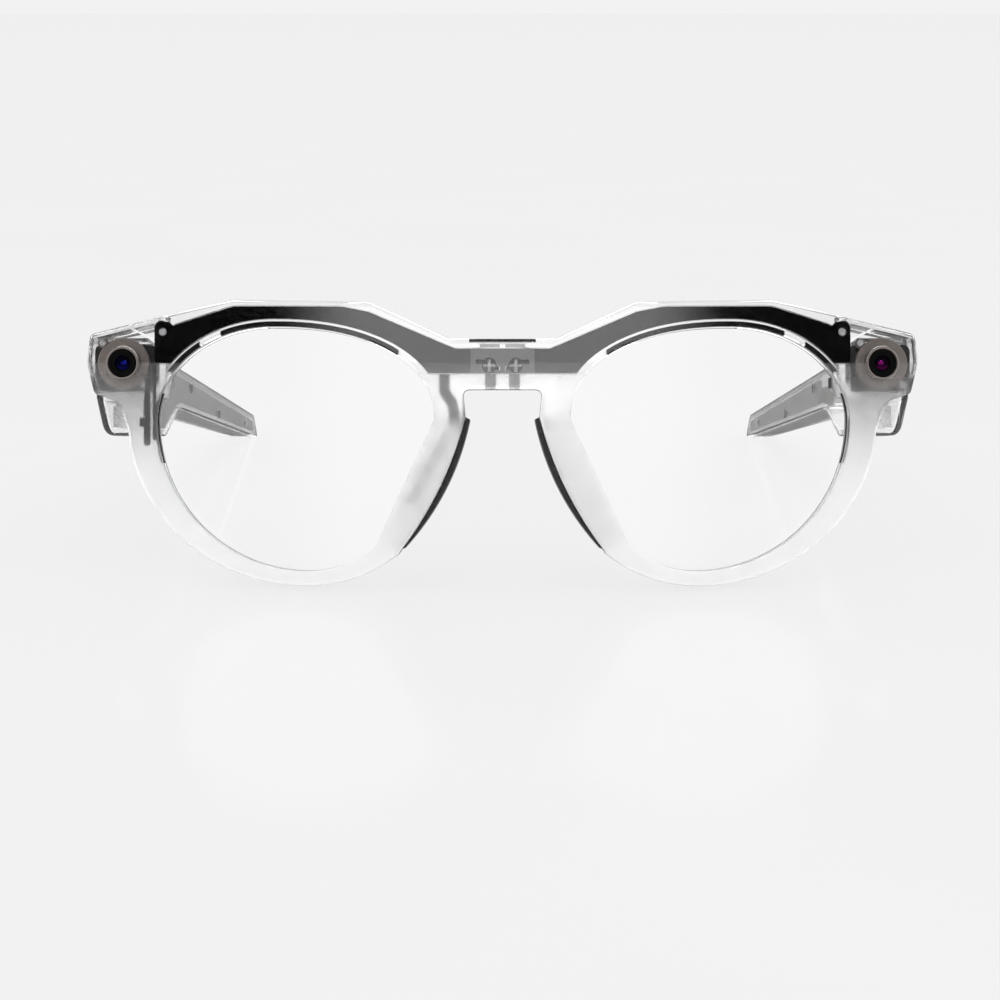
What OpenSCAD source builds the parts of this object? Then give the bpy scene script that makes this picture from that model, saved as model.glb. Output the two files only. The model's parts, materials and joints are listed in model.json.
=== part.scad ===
// Smart glasses with clear two-part casings: a wrapped front that holds two
// cameras, a brow insert and the charging contacts, and two folding arms that
// hold the batteries, boards and speakers. They stand on a table on the rim
// bottoms and the arm tips, so the front leans back.
//
// Every piece is drawn in the front's own frame: x to the wearer's left, y
// towards the back, z up along the front, with z = 0 at the rim bottoms and
// y = 0 at the middle of the front face. stand() then leans the whole.

/* [Front] */
// Radius of the wrap around the face
wrap_r = 300; // [250:5:500]
// Thickness of the clear front shell
shell_d = 3.9; // [3.6:0.1:5]
// Thickness of the clear rear cover
cover_d = 1.3; // [1:0.1:2]
// Thickness of the clear skin in front of the inner pieces
skin = 1.3; // [1:0.1:1.5]
// Height of the brow above the lens
brow_h = 5; // [4:0.1:8]
// Distance from the nose edge of the lens to the inner brow corner
brow_in = 11.9; // [9:0.1:15]
// Distance from the nose edge of the lens to the outer brow corner
brow_out = 36.8; // [33:0.1:42]
// Reach of the end piece past the lens
end_w = 13.5; // [13:0.1:18]
// Height of the end piece
end_h = 11; // [10.6:0.1:14]
// Width of the rim at the arm side of the lens
rim_side = 5.5; // [4:0.1:7]
// Width of the rim below the lens
rim_low = 2.7; // [2:0.1:4]

/* [Lenses] */
// Width of each lens opening
lens_w = 51.1; // [42:0.1:62]
// Height of each lens opening
lens_h = 44.4; // [37:0.1:54]
// Height of the widest line above the lowest point of the lens
lens_belly = 27.5; // [24:0.1:31]
// Distance from the nose edge of the lens to its lowest point
lens_low_in = 23.1; // [20:0.1:26]
// Distance from the nose edge of the lens to its highest point
lens_top_in = 29.7; // [26:0.1:33]
// Reach of the lower nose-side curve
lens_toe = 23.5; // [22:0.1:25]
// Thickness of the lens
lens_t = 1.5; // [1:0.1:1.5]
// How far the lens edge reaches into the rim
lens_bite = 0.7; // [0.4:0.1:1]

/* [Bridge] */
// Distance between the two lens openings
nose_w = 24.6; // [20:0.1:30]
// Drop from the top of the lens to the top of the bridge
bridge_drop = 2.4; // [1:0.1:4]
// Height of the clear bridge
bridge_h = 9.1; // [8.9:0.1:13]
// Half of the width of the arch over the nose
arch_half = 7.2; // [6:0.1:8.5]
// Distance of each charging contact from the middle
contact_x = 2.4; // [2.2:0.1:3.2]
// Radius of a charging contact
contact_r = 0.75; // [0.5:0.05:0.9]

/* [Nose pads] */
// Width of the pad's lip beside the clear rim
pad_lip = 0.9; // [0.5:0.1:1.2]
// Depth of the pad behind the rim
pad_d = 7.6; // [5:0.1:8]
// Width of the pad behind the rim
pad_w = 3.4; // [2.5:0.1:4.5]
// How far the back of the pad flares away from the nose
pad_flare = 3; // [1:0.1:4]
// How far the nose side of the pad bows out
pad_bow = 2; // [1:0.1:2.5]

/* [Cameras] */
// Distance of the camera's centre past the lens
cam_out = 6.6; // [6.4:0.1:9]
// Drop from the top of the lens to the camera's centre
cam_drop = 6.3; // [5:0.1:8]
// Outer radius of the camera's metal ring
ring_r = 4.8; // [4:0.1:5]
// Radius of the ring's collar, which stands in the opening of the front
collar_r = 3; // [2.9:0.05:3.4]
// Radius of the camera's barrel
barrel_r = 2.5; // [2:0.05:2.6]
// Radius of the camera's front glass
glass_r = 1.3; // [1:0.05:1.8]
// Radius of the screw lugs on the ring
lug_r = 0.95; // [0.9:0.05:1.2]

/* [Hinges] */
// Distance of the hinge axis behind the face beside the camera
hinge_back = 11.7; // [11.5:0.1:15]
// Inset of the hinge axis from the end of the front
hinge_in = 9.7; // [9:0.1:11]
// Outer radius of the hinge knuckles
knuckle_r = 1.7; // [1.5:0.05:2]
// Radius of the hinge pin
pin_r = 0.7; // [0.6:0.05:0.9]
// Height of one hinge knuckle
knuckle_h = 1.4; // [1.2:0.1:1.5]

/* [Arms] */
// Length of the arm behind the hinge axis
arm_l = 126.5; // [105:0.5:152]
// Angle at which the arms close in towards their tips
arm_in_ang = 2.8; // [1:0.1:5]
// Thickness of the arm at the hinge
arm_t = 10.3; // [8.5:0.1:11]
// Thickness of the arm at the tip
tip_t = 6; // [5.6:0.1:7]
// Wall of the clear arm casing
wall = 1.2; // [1:0.1:1.5]
// Height of the arm at the tip
tip_h = 5.4; // [5:0.1:7]
// Drop of the arm's top edge from the hinge to the tip
arm_drop = 9.8; // [8:0.1:12]
// Depth of the speaker lobe below the end piece
lobe_drop = 6.6; // [5.5:0.1:8]
// Distance of the lobe's lowest point behind the hinge axis
lobe_u = 8.5; // [8:0.5:12]

/* [Controls] */
// Length of the capture button
button_l = 9; // [7:0.5:12]
// Travel of the capture button
button_travel = 0.4; // [0.2:0.05:0.5]
// Length of the power slider
slider_l = 4; // [3:0.1:5]
// Travel of the power slider
slider_travel = 2; // [1:0.1:2.5]

/* [Fits] */
// Radial clearance of a running fit
run_fit = 0.05; // [0.02:0.01:0.1]
// Gap between fixed pieces
gap = 0.1; // [0.05:0.01:0.2]
// Gap between pieces that move past each other
move_gap = 0.35; // [0.3:0.05:0.5]

/* [Hidden] */
$fn = 48;
front_d = shell_d + cover_d;
over = 1;            // how far a cut runs past the face it cuts
reach = 200;         // longer than anything that a half-space cuts
ARC_STEPS = 5;       // straight steps in a rounded corner

// Places on the front, worked out from the lens
lens_in = nose_w / 2;
lens_out = lens_in + lens_w;
lens_top = rim_low + lens_h;
lens_mid = rim_low + lens_belly;
low_x = lens_in + lens_low_in;
top_x = lens_in + lens_top_in;
toe_ang = 59;        // where the lower curve meets the nose side
half_w = lens_out + end_w;
brow_z = lens_top + brow_h;
bridge_z = lens_top - bridge_drop;
arch_z = bridge_z - bridge_h;
cam_x = lens_out + cam_out;
cam_z = lens_top - cam_drop;
hinge_y = face_y(cam_x) + hinge_back;
end_top = cam_z + end_h / 2;
end_low = cam_z - end_h / 2;
foot_ang = 54;       // where the lower rim meets the nose pad
foot = [low_x - (lens_toe + 4.8) * cos(foot_ang), lens_mid * (1 - sin(foot_ang))];
pad_top = [lens_in - 6.4, lens_mid];

// Layers of the front, as depths behind its face
lens_d = shell_d - lens_t - gap / 2;
brow_d = [skin + gap, skin + 1.9];
clip_d = [skin + gap, skin + 0.9];

// The pod behind each camera
pod_in = lens_out - 0.4;
pod_back = hinge_y - 3;
pod_wall = 1.2;
pod_side = 0.9;
pod_low = end_low - 0.7;

// The hinge and the arm's own frame: u back along the arm, t outwards
hinge_x = half_w - hinge_in;
arm_in_t = -0.8;
split_t = arm_in_t + wall;
arm_front = pod_back + 0.4 - hinge_y;
hinge_z = cam_z;
hinge_h = 5 * knuckle_h;
slit = 0.05;         // axial gap between knuckles
arm_top = end_top - 0.1;
arm_low = end_low - 0.8;
tip_z = arm_top - arm_drop - tip_h;
lobe_z = arm_low - lobe_drop;
leaf_t = 0.8;        // thickness of the hinge leaves
core_t = [split_t + 0.1, split_t + 0.9];

// Small controls on the arms
button_u = 26;
button_w = 2.6;
button_proud = 0.6;
slider_u = 19;
slider_h = 2;
slider_z = hinge_z - 2;
speaker_l = 9;
speaker_u = lobe_u;
speaker_t = arm_out_t(speaker_u + speaker_l / 2) - wall - core_t[1] - 0.52;
screw_us = [40, 72, arm_l - 18];
board_us = [31, 59];
neck_u = 20;         // where the arm's top edge becomes straight
heel_u = lobe_u + 21.5;
tip_u = arm_l - 0.5;

// ---- outlines ---------------------------------------------------------

function unit(v) = v / norm(v);

// A corner at b, rounded to about radius r, as points on a smooth curve
function corner(a, b, c, r) =
    let (u = unit(a - b), v = unit(c - b),
         half = acos(max(-1, min(1, u * v))) / 2,
         cut = min(r / tan(half), 0.48 * norm(a - b), 0.48 * norm(c - b)))
    [for (k = [0 : ARC_STEPS])
        let (s = k / ARC_STEPS)
        (1 - s) * (1 - s) * (b + u * cut) + 2 * s * (1 - s) * b + s * s * (b + v * cut)];

// A closed outline of [x, z, corner radius] points, with its corners rounded
function rounded(p) =
    let (n = len(p), xy = [for (q = p) [q[0], q[1]]])
    [for (i = [0 : n - 1])
        each (p[i][2] > 0
            ? corner(xy[(i + n - 1) % n], xy[i], xy[(i + 1) % n], p[i][2])
            : [xy[i]])];

// Sharp points, given a corner radius of none
function sharp(p) = [for (q = p) [q[0], q[1], 0]];

function area2(p) =
    let (n = len(p))
    [for (i = [0 : n - 1]) cross(p[i], p[(i + 1) % n])] * [for (i = p) 1];

function normal(a, b) = let (d = unit(b - a)) [d[1], -d[0]];

// A closed outline moved outwards by d
function grow(p, d) =
    let (n = len(p), turn = sign(area2(p)))
    [for (i = [0 : n - 1])
        let (m = normal(p[(i + n - 1) % n], p[i]) + normal(p[i], p[(i + 1) % n]))
        p[i] + m * (2 * d * turn / (m * m))];

// Points on an oval's arc, with a squareness above 2 for a fuller curve
function oval(c, rx, rz, from, to, n, square = 2) =
    [for (k = [0 : n])
        let (t = from + (to - from) * k / n, cs = cos(t), sn = sin(t))
        [c[0] + rx * sign(cs) * pow(abs(cs), 2 / square),
         c[1] + rz * sign(sn) * pow(abs(sn), 2 / square)]];

// Points from a to b on a shallow bow that stands out by sag
function bow(a, b, sag, n) =
    let (d = b - a, out = unit([-d[1], d[0]]))
    [for (k = [0 : n]) let (s = k / n) a + d * s + out * (4 * sag * s * (1 - s))];

function reversed(p) = [for (i = [len(p) - 1 : -1 : 0]) p[i]];
function mirrored(p) = [for (q = reversed(p)) [-q[0], q[1], q[2]]];
function tail(p) = [for (i = [1 : len(p) - 1]) p[i]];

// The edge of one lens opening, anticlockwise
function lens_outline() = concat(
    oval([top_x, lens_mid], lens_out - top_x, lens_top - lens_mid, 0, 90, 10),
    tail(oval([top_x, lens_mid], lens_top_in, lens_top - lens_mid, 90, 180, 12, 2.2)),
    oval([low_x, lens_mid], lens_toe, lens_belly, 180 + toe_ang, 270, 5),
    [for (i = [1 : 11]) oval([low_x, lens_mid], lens_out - low_x, lens_belly, 270, 360, 12)[i]]);

// The nose side of the pad, from its foot to its top
function nose_side(off) =
    let (d = unit(pad_top - foot), out = [d[1], -d[0]])
    bow(foot + out * off, pad_top + out * off, pad_bow, 8);

// The outline of the front: its right half as seen from the front, then the
// same points mirrored
function front_half(r) = concat(
    [[lens_in - 2.8, bridge_z, 2 * r],
     [lens_in + brow_in, brow_z - 0.7, 1.2 * r],
     [lens_in + brow_out, brow_z, 4 * r],
     [half_w - 0.6, end_top, 1.5 * r],
     [half_w, cam_z, 8 * r],
     [half_w - 1.4, end_low, 1.2 * r],
     [lens_out + rim_side + 1.6, end_low - 1.7, 4 * r]],
    sharp(oval([low_x, lens_mid], lens_out + rim_side - low_x, lens_mid, -4, -90, 12)),
    sharp(tail(oval([low_x, lens_mid], lens_toe + 4.8, lens_mid, 270, 180 + foot_ang, 5))),
    sharp(tail(nose_side(pad_lip))),
    [[arch_half, arch_z, 1.2 * r]]);

function front_outline(r = 1) = rounded(concat(front_half(r), mirrored(front_half(r))));

// The brow insert, before the lens curve is cut from it
function brow_half() = [
    [8.6, bridge_z - 1.7, 2],
    [lens_in + brow_in, brow_z - 2.4, 2],
    [lens_in + brow_in + 5, brow_z - 1.4, 4],
    [lens_in + brow_out, brow_z - 1.1, 5],
    [lens_out + 0.5, cam_z + 6.8, 1.2],
    [lens_out + 0.5, cam_z, 0.3],
    [lens_in, arch_z + 2.9, 0.5]];

function brow_outline() = rounded(concat(brow_half(), mirrored(brow_half())));

// A flat band of width w along a path
function band(path, w) =
    let (n = len(path),
         side = [for (i = [0 : n - 1])
            let (d = unit(path[min(i + 1, n - 1)] - path[max(i - 1, 0)]))
            [-d[1], d[0]] * w / 2])
    concat([for (i = [0 : n - 1]) path[i] + side[i]],
           reversed([for (i = [0 : n - 1]) path[i] - side[i]]));

// Distance of the front's surface, d below its face, behind its middle
function face_y(x, d = 0) = wrap_r - sqrt(pow(wrap_r - d, 2) - x * x);

// Outside thickness of the arm at a distance u behind the hinge
function arm_out_t(u) =
    arm_in_t + arm_t + (tip_t - arm_t) * (u - arm_front) / (arm_l - arm_front);

// Heights of the arm's straight top and bottom edges behind the lobe
function arm_top_z(u) =
    arm_top - 3.5 - (arm_drop - 3.5) * (u - neck_u) / (arm_l - 6.5 - neck_u);
function arm_low_z(u) = tip_z + 3.1 * (tip_u - u) / (tip_u - heel_u);

// The arm seen from its side; tight is 0 for sharp corners at its two ends
function arm_side(tight = 1) = rounded([
    [arm_front, arm_top, 1.2 * tight],
    [6, arm_top - 0.8, 0],
    [neck_u, arm_top_z(neck_u), 0],
    [arm_l - 6.5, tip_z + tip_h, 1.5 * tight],
    [tip_u, tip_z, tight],
    [heel_u, arm_low_z(heel_u), 0],
    [heel_u - 4, arm_low_z(heel_u) - 0.6, 5],
    [lobe_u + 6, lobe_z + 0.2, 6],
    [lobe_u - 5.5, lobe_z, 5],
    [arm_front, arm_low, tight]]);

// ---- how the glasses stand ---------------------------------------------

// A point of the arm, seen in the front's frame
function arm_place(t, u) =
    [hinge_x + t * cos(arm_in_ang) - u * sin(arm_in_ang),
     hinge_y + t * sin(arm_in_ang) + u * cos(arm_in_ang)];

// They stand on the back edge of the rim bottoms and the arm tips
rim_rest_y = face_y(low_x, front_d);
tip_points = [for (p = arm_side()) [arm_place(arm_out_t(p[0]), p[0])[1], p[1]]];
first_lean = atan2(tip_z, arm_l + hinge_y - rim_rest_y);
function height(p, lean) = p[1] * cos(lean) - p[0] * sin(lean);
tip_height = min([for (p = tip_points) height(p, first_lean)]);
tip_rest = [for (p = tip_points) if (height(p, first_lean) < tip_height + 1e-6) p][0];
lean = atan2(tip_rest[1], tip_rest[0] - rim_rest_y);
rest_height = height([rim_rest_y, 0], lean);
front_most = min([for (p = front_outline()) face_y(p[0]) * cos(lean) + p[1] * sin(lean)]);
back_most = max([for (p = tip_points) p[0] * cos(lean) + p[1] * sin(lean)]);

module stand()
    translate([0, -(front_most + back_most) / 2, -rest_height])
        rotate([-lean, 0, 0]) children();

// ---- helpers ------------------------------------------------------------

// s is 1 for the wearer's left and -1 for the wearer's right
module side(s) mirror([s < 0 ? 1 : 0, 0, 0]) children();

// An outline of the front view, extruded from y0 back to y1
module face_prism(p, y0, y1)
    translate([0, y1, 0]) rotate([90, 0, 0]) linear_extrude(y1 - y0) polygon(p);

// The curved layer of the front between two depths
module layer(d0, d1)
    translate([0, wrap_r, -over]) difference() {
        cylinder(r = wrap_r - d0, h = 90, $fn = 180);
        translate([0, 0, -over]) cylinder(r = wrap_r - d1, h = 90 + 2 * over, $fn = 180);
    }

module plate(p, d0, d1)
    intersection() {
        face_prism(p, -over, 30);
        layer(d0, d1);
    }

module block(x0, x1, y0, y1, z0, z1)
    translate([x0, y0, z0]) cube([x1 - x0, y1 - y0, z1 - z0]);

// A rod along y
module rod(x, z, r, y0, y1)
    translate([x, y1, z]) rotate([90, 0, 0]) cylinder(r = r, h = y1 - y0);

module both() {
    children();
    mirror([1, 0, 0]) children();
}

// Puts a piece drawn in the arm's frame, as [t, u, z], on its side
module on_arm(s)
    side(s) translate([hinge_x, hinge_y, 0]) rotate([0, 0, arm_in_ang]) children();

// The arm's side outline, extruded across the arm from t0 to t1
module arm_prism(p, t0, t1)
    translate([t0, 0, 0]) rotate([90, 0, 90]) linear_extrude(t1 - t0) polygon(p);

// The arm's thickness seen from above, from t0 to a skin below its outside
module arm_plan(t0, inset, u0, u1)
    translate([0, 0, -over]) linear_extrude(100) polygon([
        [t0, u0], [arm_out_t(u0) - inset, u0], [arm_out_t(u1) - inset, u1], [t0, u1]]);

// ---- front --------------------------------------------------------------

// Rough box that holds the camera pod on one side
module pod_box(inset, y0, y1)
    block(pod_in + inset, half_w + over, y0, y1, pod_low + inset, reach);

// The room inside the pod's sides, shrunk by a margin
module pod_room(margin)
    intersection() {
        face_prism(grow(front_outline(0), -pod_side - margin), 0, 30);
        pod_box(pod_side + margin, 0, 30);
    }

module front_shell_body() {
    plate(front_outline(), 0, shell_d);
    both() intersection() {
        face_prism(front_outline(), face_y(pod_in), pod_back - pod_wall);
        pod_box(0, face_y(pod_in, shell_d - gap), pod_back - pod_wall);
    }
}

// The hollows for the bridge pieces
module bridge_hollow() {
    for (s = [-1, 1]) {
        x0 = s > 0 ? contact_x - 1.3 : -contact_x - 0.8;
        block(x0, x0 + 2.1, skin, shell_d + over, arch_z + 0.6, bridge_z - 5);
    }
    block(-4.4, 4.4, skin, shell_d + over, bridge_z - 3, bridge_z - 0.8);
}

module front_shell()
    color("white", 0.35) stand() difference() {
        front_shell_body();
        both() face_prism(lens_outline(), -over, 30);
        // seat of the lens, and of the seal in front of its edge
        both() plate(grow(lens_outline(), lens_bite + gap / 2), lens_d - gap / 2, shell_d + over);
        both() intersection() {
            plate(grow(lens_outline(), 1.05), skin, lens_d);
            seal_reach(0.1);
        }
        // hollow for the brow insert
        difference() {
            plate(grow(brow_outline(), 0.15), skin, shell_d + over);
            both() face_prism(grow(lens_outline(), 1.35), -over, 30);
        }
        bridge_hollow();
        // slot for the microphone strip
        plate(strip_outline(gap / 2), 1.5, 3.4);
        // channels for the nose flex and the side antenna
        side(-1) plate(grow(flex_outline(), 0.15), 2.9, shell_d + over);
        side(-1) plate(grow(nose_sensor_outline(), 0.15), 2.2, shell_d + over);
        side(-1) plate(grow(antenna_outer(), 0.12), skin, shell_d + over);
        side(-1) plate(grow(antenna_inner(), 0.12), skin, shell_d + over);
        // the camera's pod and its window
        both() intersection() {
            pod_room(0);
            layer(skin, 30);
        }
        both() rod(cam_x, cam_z, collar_r + gap, -over, ring_y);
    }

module front_rear_cover()
    color("white", 0.35) stand() difference() {
        union() {
            difference() {
                plate(front_outline(), shell_d, front_d);
                both() pod_box(0, 0, 30);
            }
            // the pod's inner side, and its back
            both() intersection() {
                face_prism(front_outline(), 0, pod_back);
                block(pod_in - pod_wall, pod_in - gap / 2, 0, pod_back, pod_low, reach);
                layer(shell_d, 40);
            }
            both() intersection() {
                face_prism(front_outline(), 0, pod_back);
                block(pod_in - pod_wall, half_w + over, pod_back - pod_wall, pod_back,
                    pod_low, reach);
            }
        }
        both() face_prism(lens_outline(), -over, 30);
        for (s = [-1, 1]) rod(s * contact_x, contact_z, contact_r + run_fit, 0, 10);
        both() hinge_base(gap / 2);
        both() for (z = hinge_screw_zs) rod(hinge_x - 2.6, z, 0.45 + run_fit, 0, pod_back);
    }

module brow_insert()
    color("black") stand() difference() {
        plate(brow_outline(), brow_d[0], brow_d[1]);
        both() face_prism(grow(lens_outline(), 1.5), -over, 30);
        block(-5.9, 5.9, 0, clip_d[1] + 2 * gap, 0, reach);
        both() rod(lens_out - 1, cam_z + 5.7, 0.8, 0, 20);
        contact_holder_pair(gap / 2);
    }

module brow_screws()
    color("silver") stand() both() {
        x = lens_out - 1;
        y = face_y(x, brow_d[1]);
        rod(x, cam_z + 5.7, 0.65, y - 1.4, y + 0.3);
        rod(x, cam_z + 5.7, 1.1, y + 0.27, face_y(x - 1.1, shell_d) - 0.03);
    }

module lens(s)
    color("lightcyan", 0.4) stand() side(s)
        plate(grow(lens_outline(), lens_bite), lens_d, shell_d - gap / 2);
module lens_left() lens(1);
module lens_right() lens(-1);

// The stretch along the top of the lens that the seal covers
module seal_reach(extra) {
    intersection() {
        block(lens_in + 6.5 - extra, lens_out, 0, 30, lens_mid + 9 - extra, reach);
        union() {
            block(0, lens_out - 12 + extra, 0, 30, 0, reach);
            block(lens_out - 8 - extra, lens_out + over, 0, 30, 0, reach);
        }
    }
}

module lens_seal(s)
    color("black") stand() side(s) intersection() {
        difference() {
            plate(grow(lens_outline(), 1), skin + gap / 2, lens_d - gap);
            face_prism(grow(lens_outline(), 0.1), -over, 30);
        }
        seal_reach(0);
    }
module lens_seal_left() lens_seal(1);
module lens_seal_right() lens_seal(-1);

// ---- nose pads ------------------------------------------------------------

// A D-shaped slice of the pad, bowed towards the nose
function pad_slice(shift, trim) =
    let (d = unit(pad_top - foot), out = [d[1], -d[0]],
         a = foot + d * trim + out * shift, b = pad_top - d * trim + out * shift)
    concat(bow(a, b, pad_bow, 8), [b + out * (pad_w - pad_bow), a + out * (pad_w - pad_bow)]);

module nose_pad(s)
    color("dimgray") stand() side(s) {
        back = face_y(foot[0] + pad_w, front_d);
        hull() {
            face_prism(pad_slice(0, 0.4), back, back + 1);
            face_prism(pad_slice(pad_flare, 3), back + pad_d - 1, back + pad_d);
        }
        intersection() {
            face_prism(concat(tail(nose_side(0)), reversed(tail(nose_side(pad_lip - gap)))),
                0, back + 0.5);
            layer(1, 30);
        }
    }
module nose_pad_left() nose_pad(1);
module nose_pad_right() nose_pad(-1);

// ---- bridge ---------------------------------------------------------------

contact_z = bridge_z - 4.8;

function strip_outline(extra) =
    [[-6 - extra, bridge_z - 0.6 - extra], [6 + extra, bridge_z - 0.6 - extra],
     [6 + extra, bridge_z + 1], [-6 - extra, bridge_z + 1]];

// One contact's dark holder, with its two arms
module contact_holder(extra) {
    rod(contact_x, contact_z, 1.4 + extra, skin + gap, shell_d - gap);
    block(contact_x, 4.8 + extra, skin + gap, brow_d[1], contact_z + 0.3 - extra,
        contact_z + 1.1 + extra);
    block(0.5 - extra, contact_x, skin + gap, brow_d[1], contact_z - 0.8 - extra,
        contact_z - 0.2 + extra);
}

module contact_holder_pair(extra) both() contact_holder(extra);

module bridge_contact_plate()
    color("darkgray") stand() difference() {
        intersection() {
            plate(brow_outline(), clip_d[0], clip_d[1]);
            block(-5.8, 5.8, 0, 10, 0, reach);
        }
        contact_holder_pair(gap / 2);
    }

module contact_holders() color("#332f2d") stand() contact_holder_pair(0);

module charging_contacts()
    color("gold") stand() both()
        rod(contact_x, contact_z, contact_r, shell_d - gap / 2, front_d + 0.15);

module contact_tabs()
    color("gray") stand() both()
        block(contact_x - 1.2, contact_x + 0.7, skin + gap, skin + 0.6, arch_z + 0.7,
            arch_z + 2.8);

module bridge_mic_strip()
    color("black") stand() intersection() {
        plate(strip_outline(0), 1.55, 3.35);
        block(-10, 10, 0, 30, 0, bridge_z);
    }

module bridge_microphones()
    color("gray") stand() both()
        block(0.5, 4.1, skin + 0.2, skin + 1.8, bridge_z - 1.45, bridge_z - 0.9);

// ---- flex circuits in the front -------------------------------------------

function flex_outline() = band(
    [[lens_in - 1.8, arch_z + 3.5], [lens_in - 1.8, arch_z - 0.3], [lens_in - 3.2, arch_z - 2.4],
     [lens_in - 3.6, lens_mid + 1], [lens_in - 3.4, lens_mid - 3.2]], 1.9);

function nose_sensor_outline() =
    let (d = unit(foot - pad_top), out = [-d[1], d[0]],
         a = pad_top + d * 4.2 + out * 2.4, b = pad_top + d * 18.5 + out * 2.4)
    band([a, b], 1.7);

module nose_flex_tail()
    color("#3a3a3a") stand() side(-1) difference() {
        plate(flex_outline(), 3.35, shell_d - gap);
        face_prism(grow(nose_sensor_outline(), gap / 2), 0, 30);
        block(0, 30, 0, 30, arch_z + 2.75, reach);
    }

module nose_sensor()
    color("gray") stand() side(-1)
        plate(nose_sensor_outline(), 2.4, shell_d - gap);

antenna_low = lens_mid - 4.6;
antenna_top = cam_z - 0.4;
function antenna_outer() = rounded([
    [lens_out + 1.2, antenna_top, 0], [lens_out + 1.2, antenna_low, 0.6],
    [lens_out + 2.5, antenna_low, 0.6], [lens_out + 2.5, lens_mid - 1.2, 0],
    [lens_out + 3.3, lens_mid - 1, 0], [lens_out + 3.3, lens_mid + 0.4, 0],
    [lens_out + 2.5, lens_mid + 0.6, 0], [lens_out + 2.5, end_low - 1.6, 0],
    [lens_out + 2, antenna_top, 0]]);
function antenna_inner() = rounded([
    [lens_out + 0.1, cam_z - 0.4, 0.3], [lens_out + 0.1, antenna_low + 1, 0.4],
    [lens_out + 0.8, antenna_low + 1, 0.4], [lens_out + 0.8, cam_z - 0.4, 0.3]]);

module side_antenna()
    color("#2a2a2c") stand() side(-1) difference() {
        union() {
            plate(antenna_outer(), skin + 0.05, lens_d - gap);
            plate(antenna_inner(), skin + 0.05, lens_d - gap);
        }
        face_prism(grow(lens_outline(), 0.1), -over, 30);
        rod(cam_x, cam_z, ring_r + 0.2, 0, 30);
    }

// ---- cameras --------------------------------------------------------------

collar_y = face_y(cam_x) - 0.3;
ring_y = face_y(cam_x + ring_r, skin + gap);
bracket_y = ring_y + 1.4;
board_y = bracket_y + 1.8;
collar_wall = 0.35;
// Offset of a lug from the camera's axis, in x and in z
lug_out = (ring_r + 0.67) / sqrt(2);
// Each side's lugs, as directions outwards and up
function lugs(s) = s > 0 ? [[-1, 1], [1, -1]] : [[1, 1], [-1, -1]];

module camera_ring(s)
    color("#958a84") stand() side(s) difference() {
        union() {
            rod(cam_x, cam_z, ring_r, ring_y, bracket_y - gap / 2);
            rod(cam_x, cam_z, collar_r, collar_y, ring_y + gap);
            for (d = lugs(s))
                rod(cam_x + lug_out * d[0], cam_z + lug_out * d[1], lug_r,
                    bracket_y - 1, bracket_y - gap / 2);
        }
        rod(cam_x, cam_z, collar_r - collar_wall, 0, 30);
        for (d = lugs(s)) rod(cam_x + lug_out * d[0], cam_z + lug_out * d[1], 0.5, 0, 30);
    }
module camera_ring_left() camera_ring(1);
module camera_ring_right() camera_ring(-1);

module camera_barrel(s)
    color("#111111") stand() side(s) difference() {
        rod(cam_x, cam_z, barrel_r, collar_y + 0.5, board_y - gap / 2);
        rod(cam_x, cam_z, glass_r + gap, 0, collar_y + 1.8);
        rod(cam_x, cam_z, 0.7, 0, board_y - 1);
    }
module camera_barrel_left() camera_barrel(1);
module camera_barrel_right() camera_barrel(-1);

module camera_glass(s)
    color("midnightblue") stand() side(s) intersection() {
        rod(cam_x, cam_z, glass_r, collar_y + 0.6, collar_y + 1.75);
        translate([cam_x, collar_y + 3.8, cam_z]) sphere(r = 3.2);
    }
module camera_glass_left() camera_glass(1);
module camera_glass_right() camera_glass(-1);

module camera_bracket(s)
    color("#3a3636") stand() side(s) difference() {
        intersection() {
            pod_room(gap);
            block(0, reach, bracket_y, bracket_y + 1, 0, reach);
        }
        rod(cam_x, cam_z, collar_r - collar_wall, 0, 30);
        for (d = lugs(s)) rod(cam_x + lug_out * d[0], cam_z + lug_out * d[1], 0.4, 0, 30);
    }
module camera_bracket_left() camera_bracket(1);
module camera_bracket_right() camera_bracket(-1);

module camera_board(s)
    color("darkgreen") stand() side(s) {
        block(cam_x - 3.8, cam_x + 3.8, board_y, board_y + 0.6, cam_z - 3.6, cam_z + 3.6);
        block(cam_x - 1.5, cam_x + 2.5, board_y + 0.6, board_y + 1.1, cam_z - 3, cam_z - 1);
    }
module camera_board_left() camera_board(1);
module camera_board_right() camera_board(-1);

module camera_screws()
    color("silver") stand() for (s = [-1, 1]) side(s) for (d = lugs(s)) {
        x = cam_x + lug_out * d[0];
        z = cam_z + lug_out * d[1];
        rod(x, z, 0.35, bracket_y - 1.1, bracket_y + 0.9);
        rod(x, z, 0.6, bracket_y - 1.35, bracket_y - 1.05);
    }

// ---- hinges ---------------------------------------------------------------

hinge_screw_zs = [hinge_z - 2.6, hinge_z + 2.6];

// The flat base of the front leaf, let into the back of the pod
module hinge_base(extra)
    block(hinge_x - 4.2 - extra, hinge_x + 0.6 + extra, pod_back - 0.8 - extra,
        pod_back + (extra > 0 ? over : 0), hinge_z - hinge_h / 2 - extra,
        hinge_z + hinge_h / 2 + extra);

// A stack of knuckles; odd bands belong to the front, even ones to the arm
module knuckle(i, r, shrink)
    translate([0, 0, hinge_z - hinge_h / 2 + i * knuckle_h + shrink])
        cylinder(r = r, h = knuckle_h - 2 * shrink);

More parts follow.
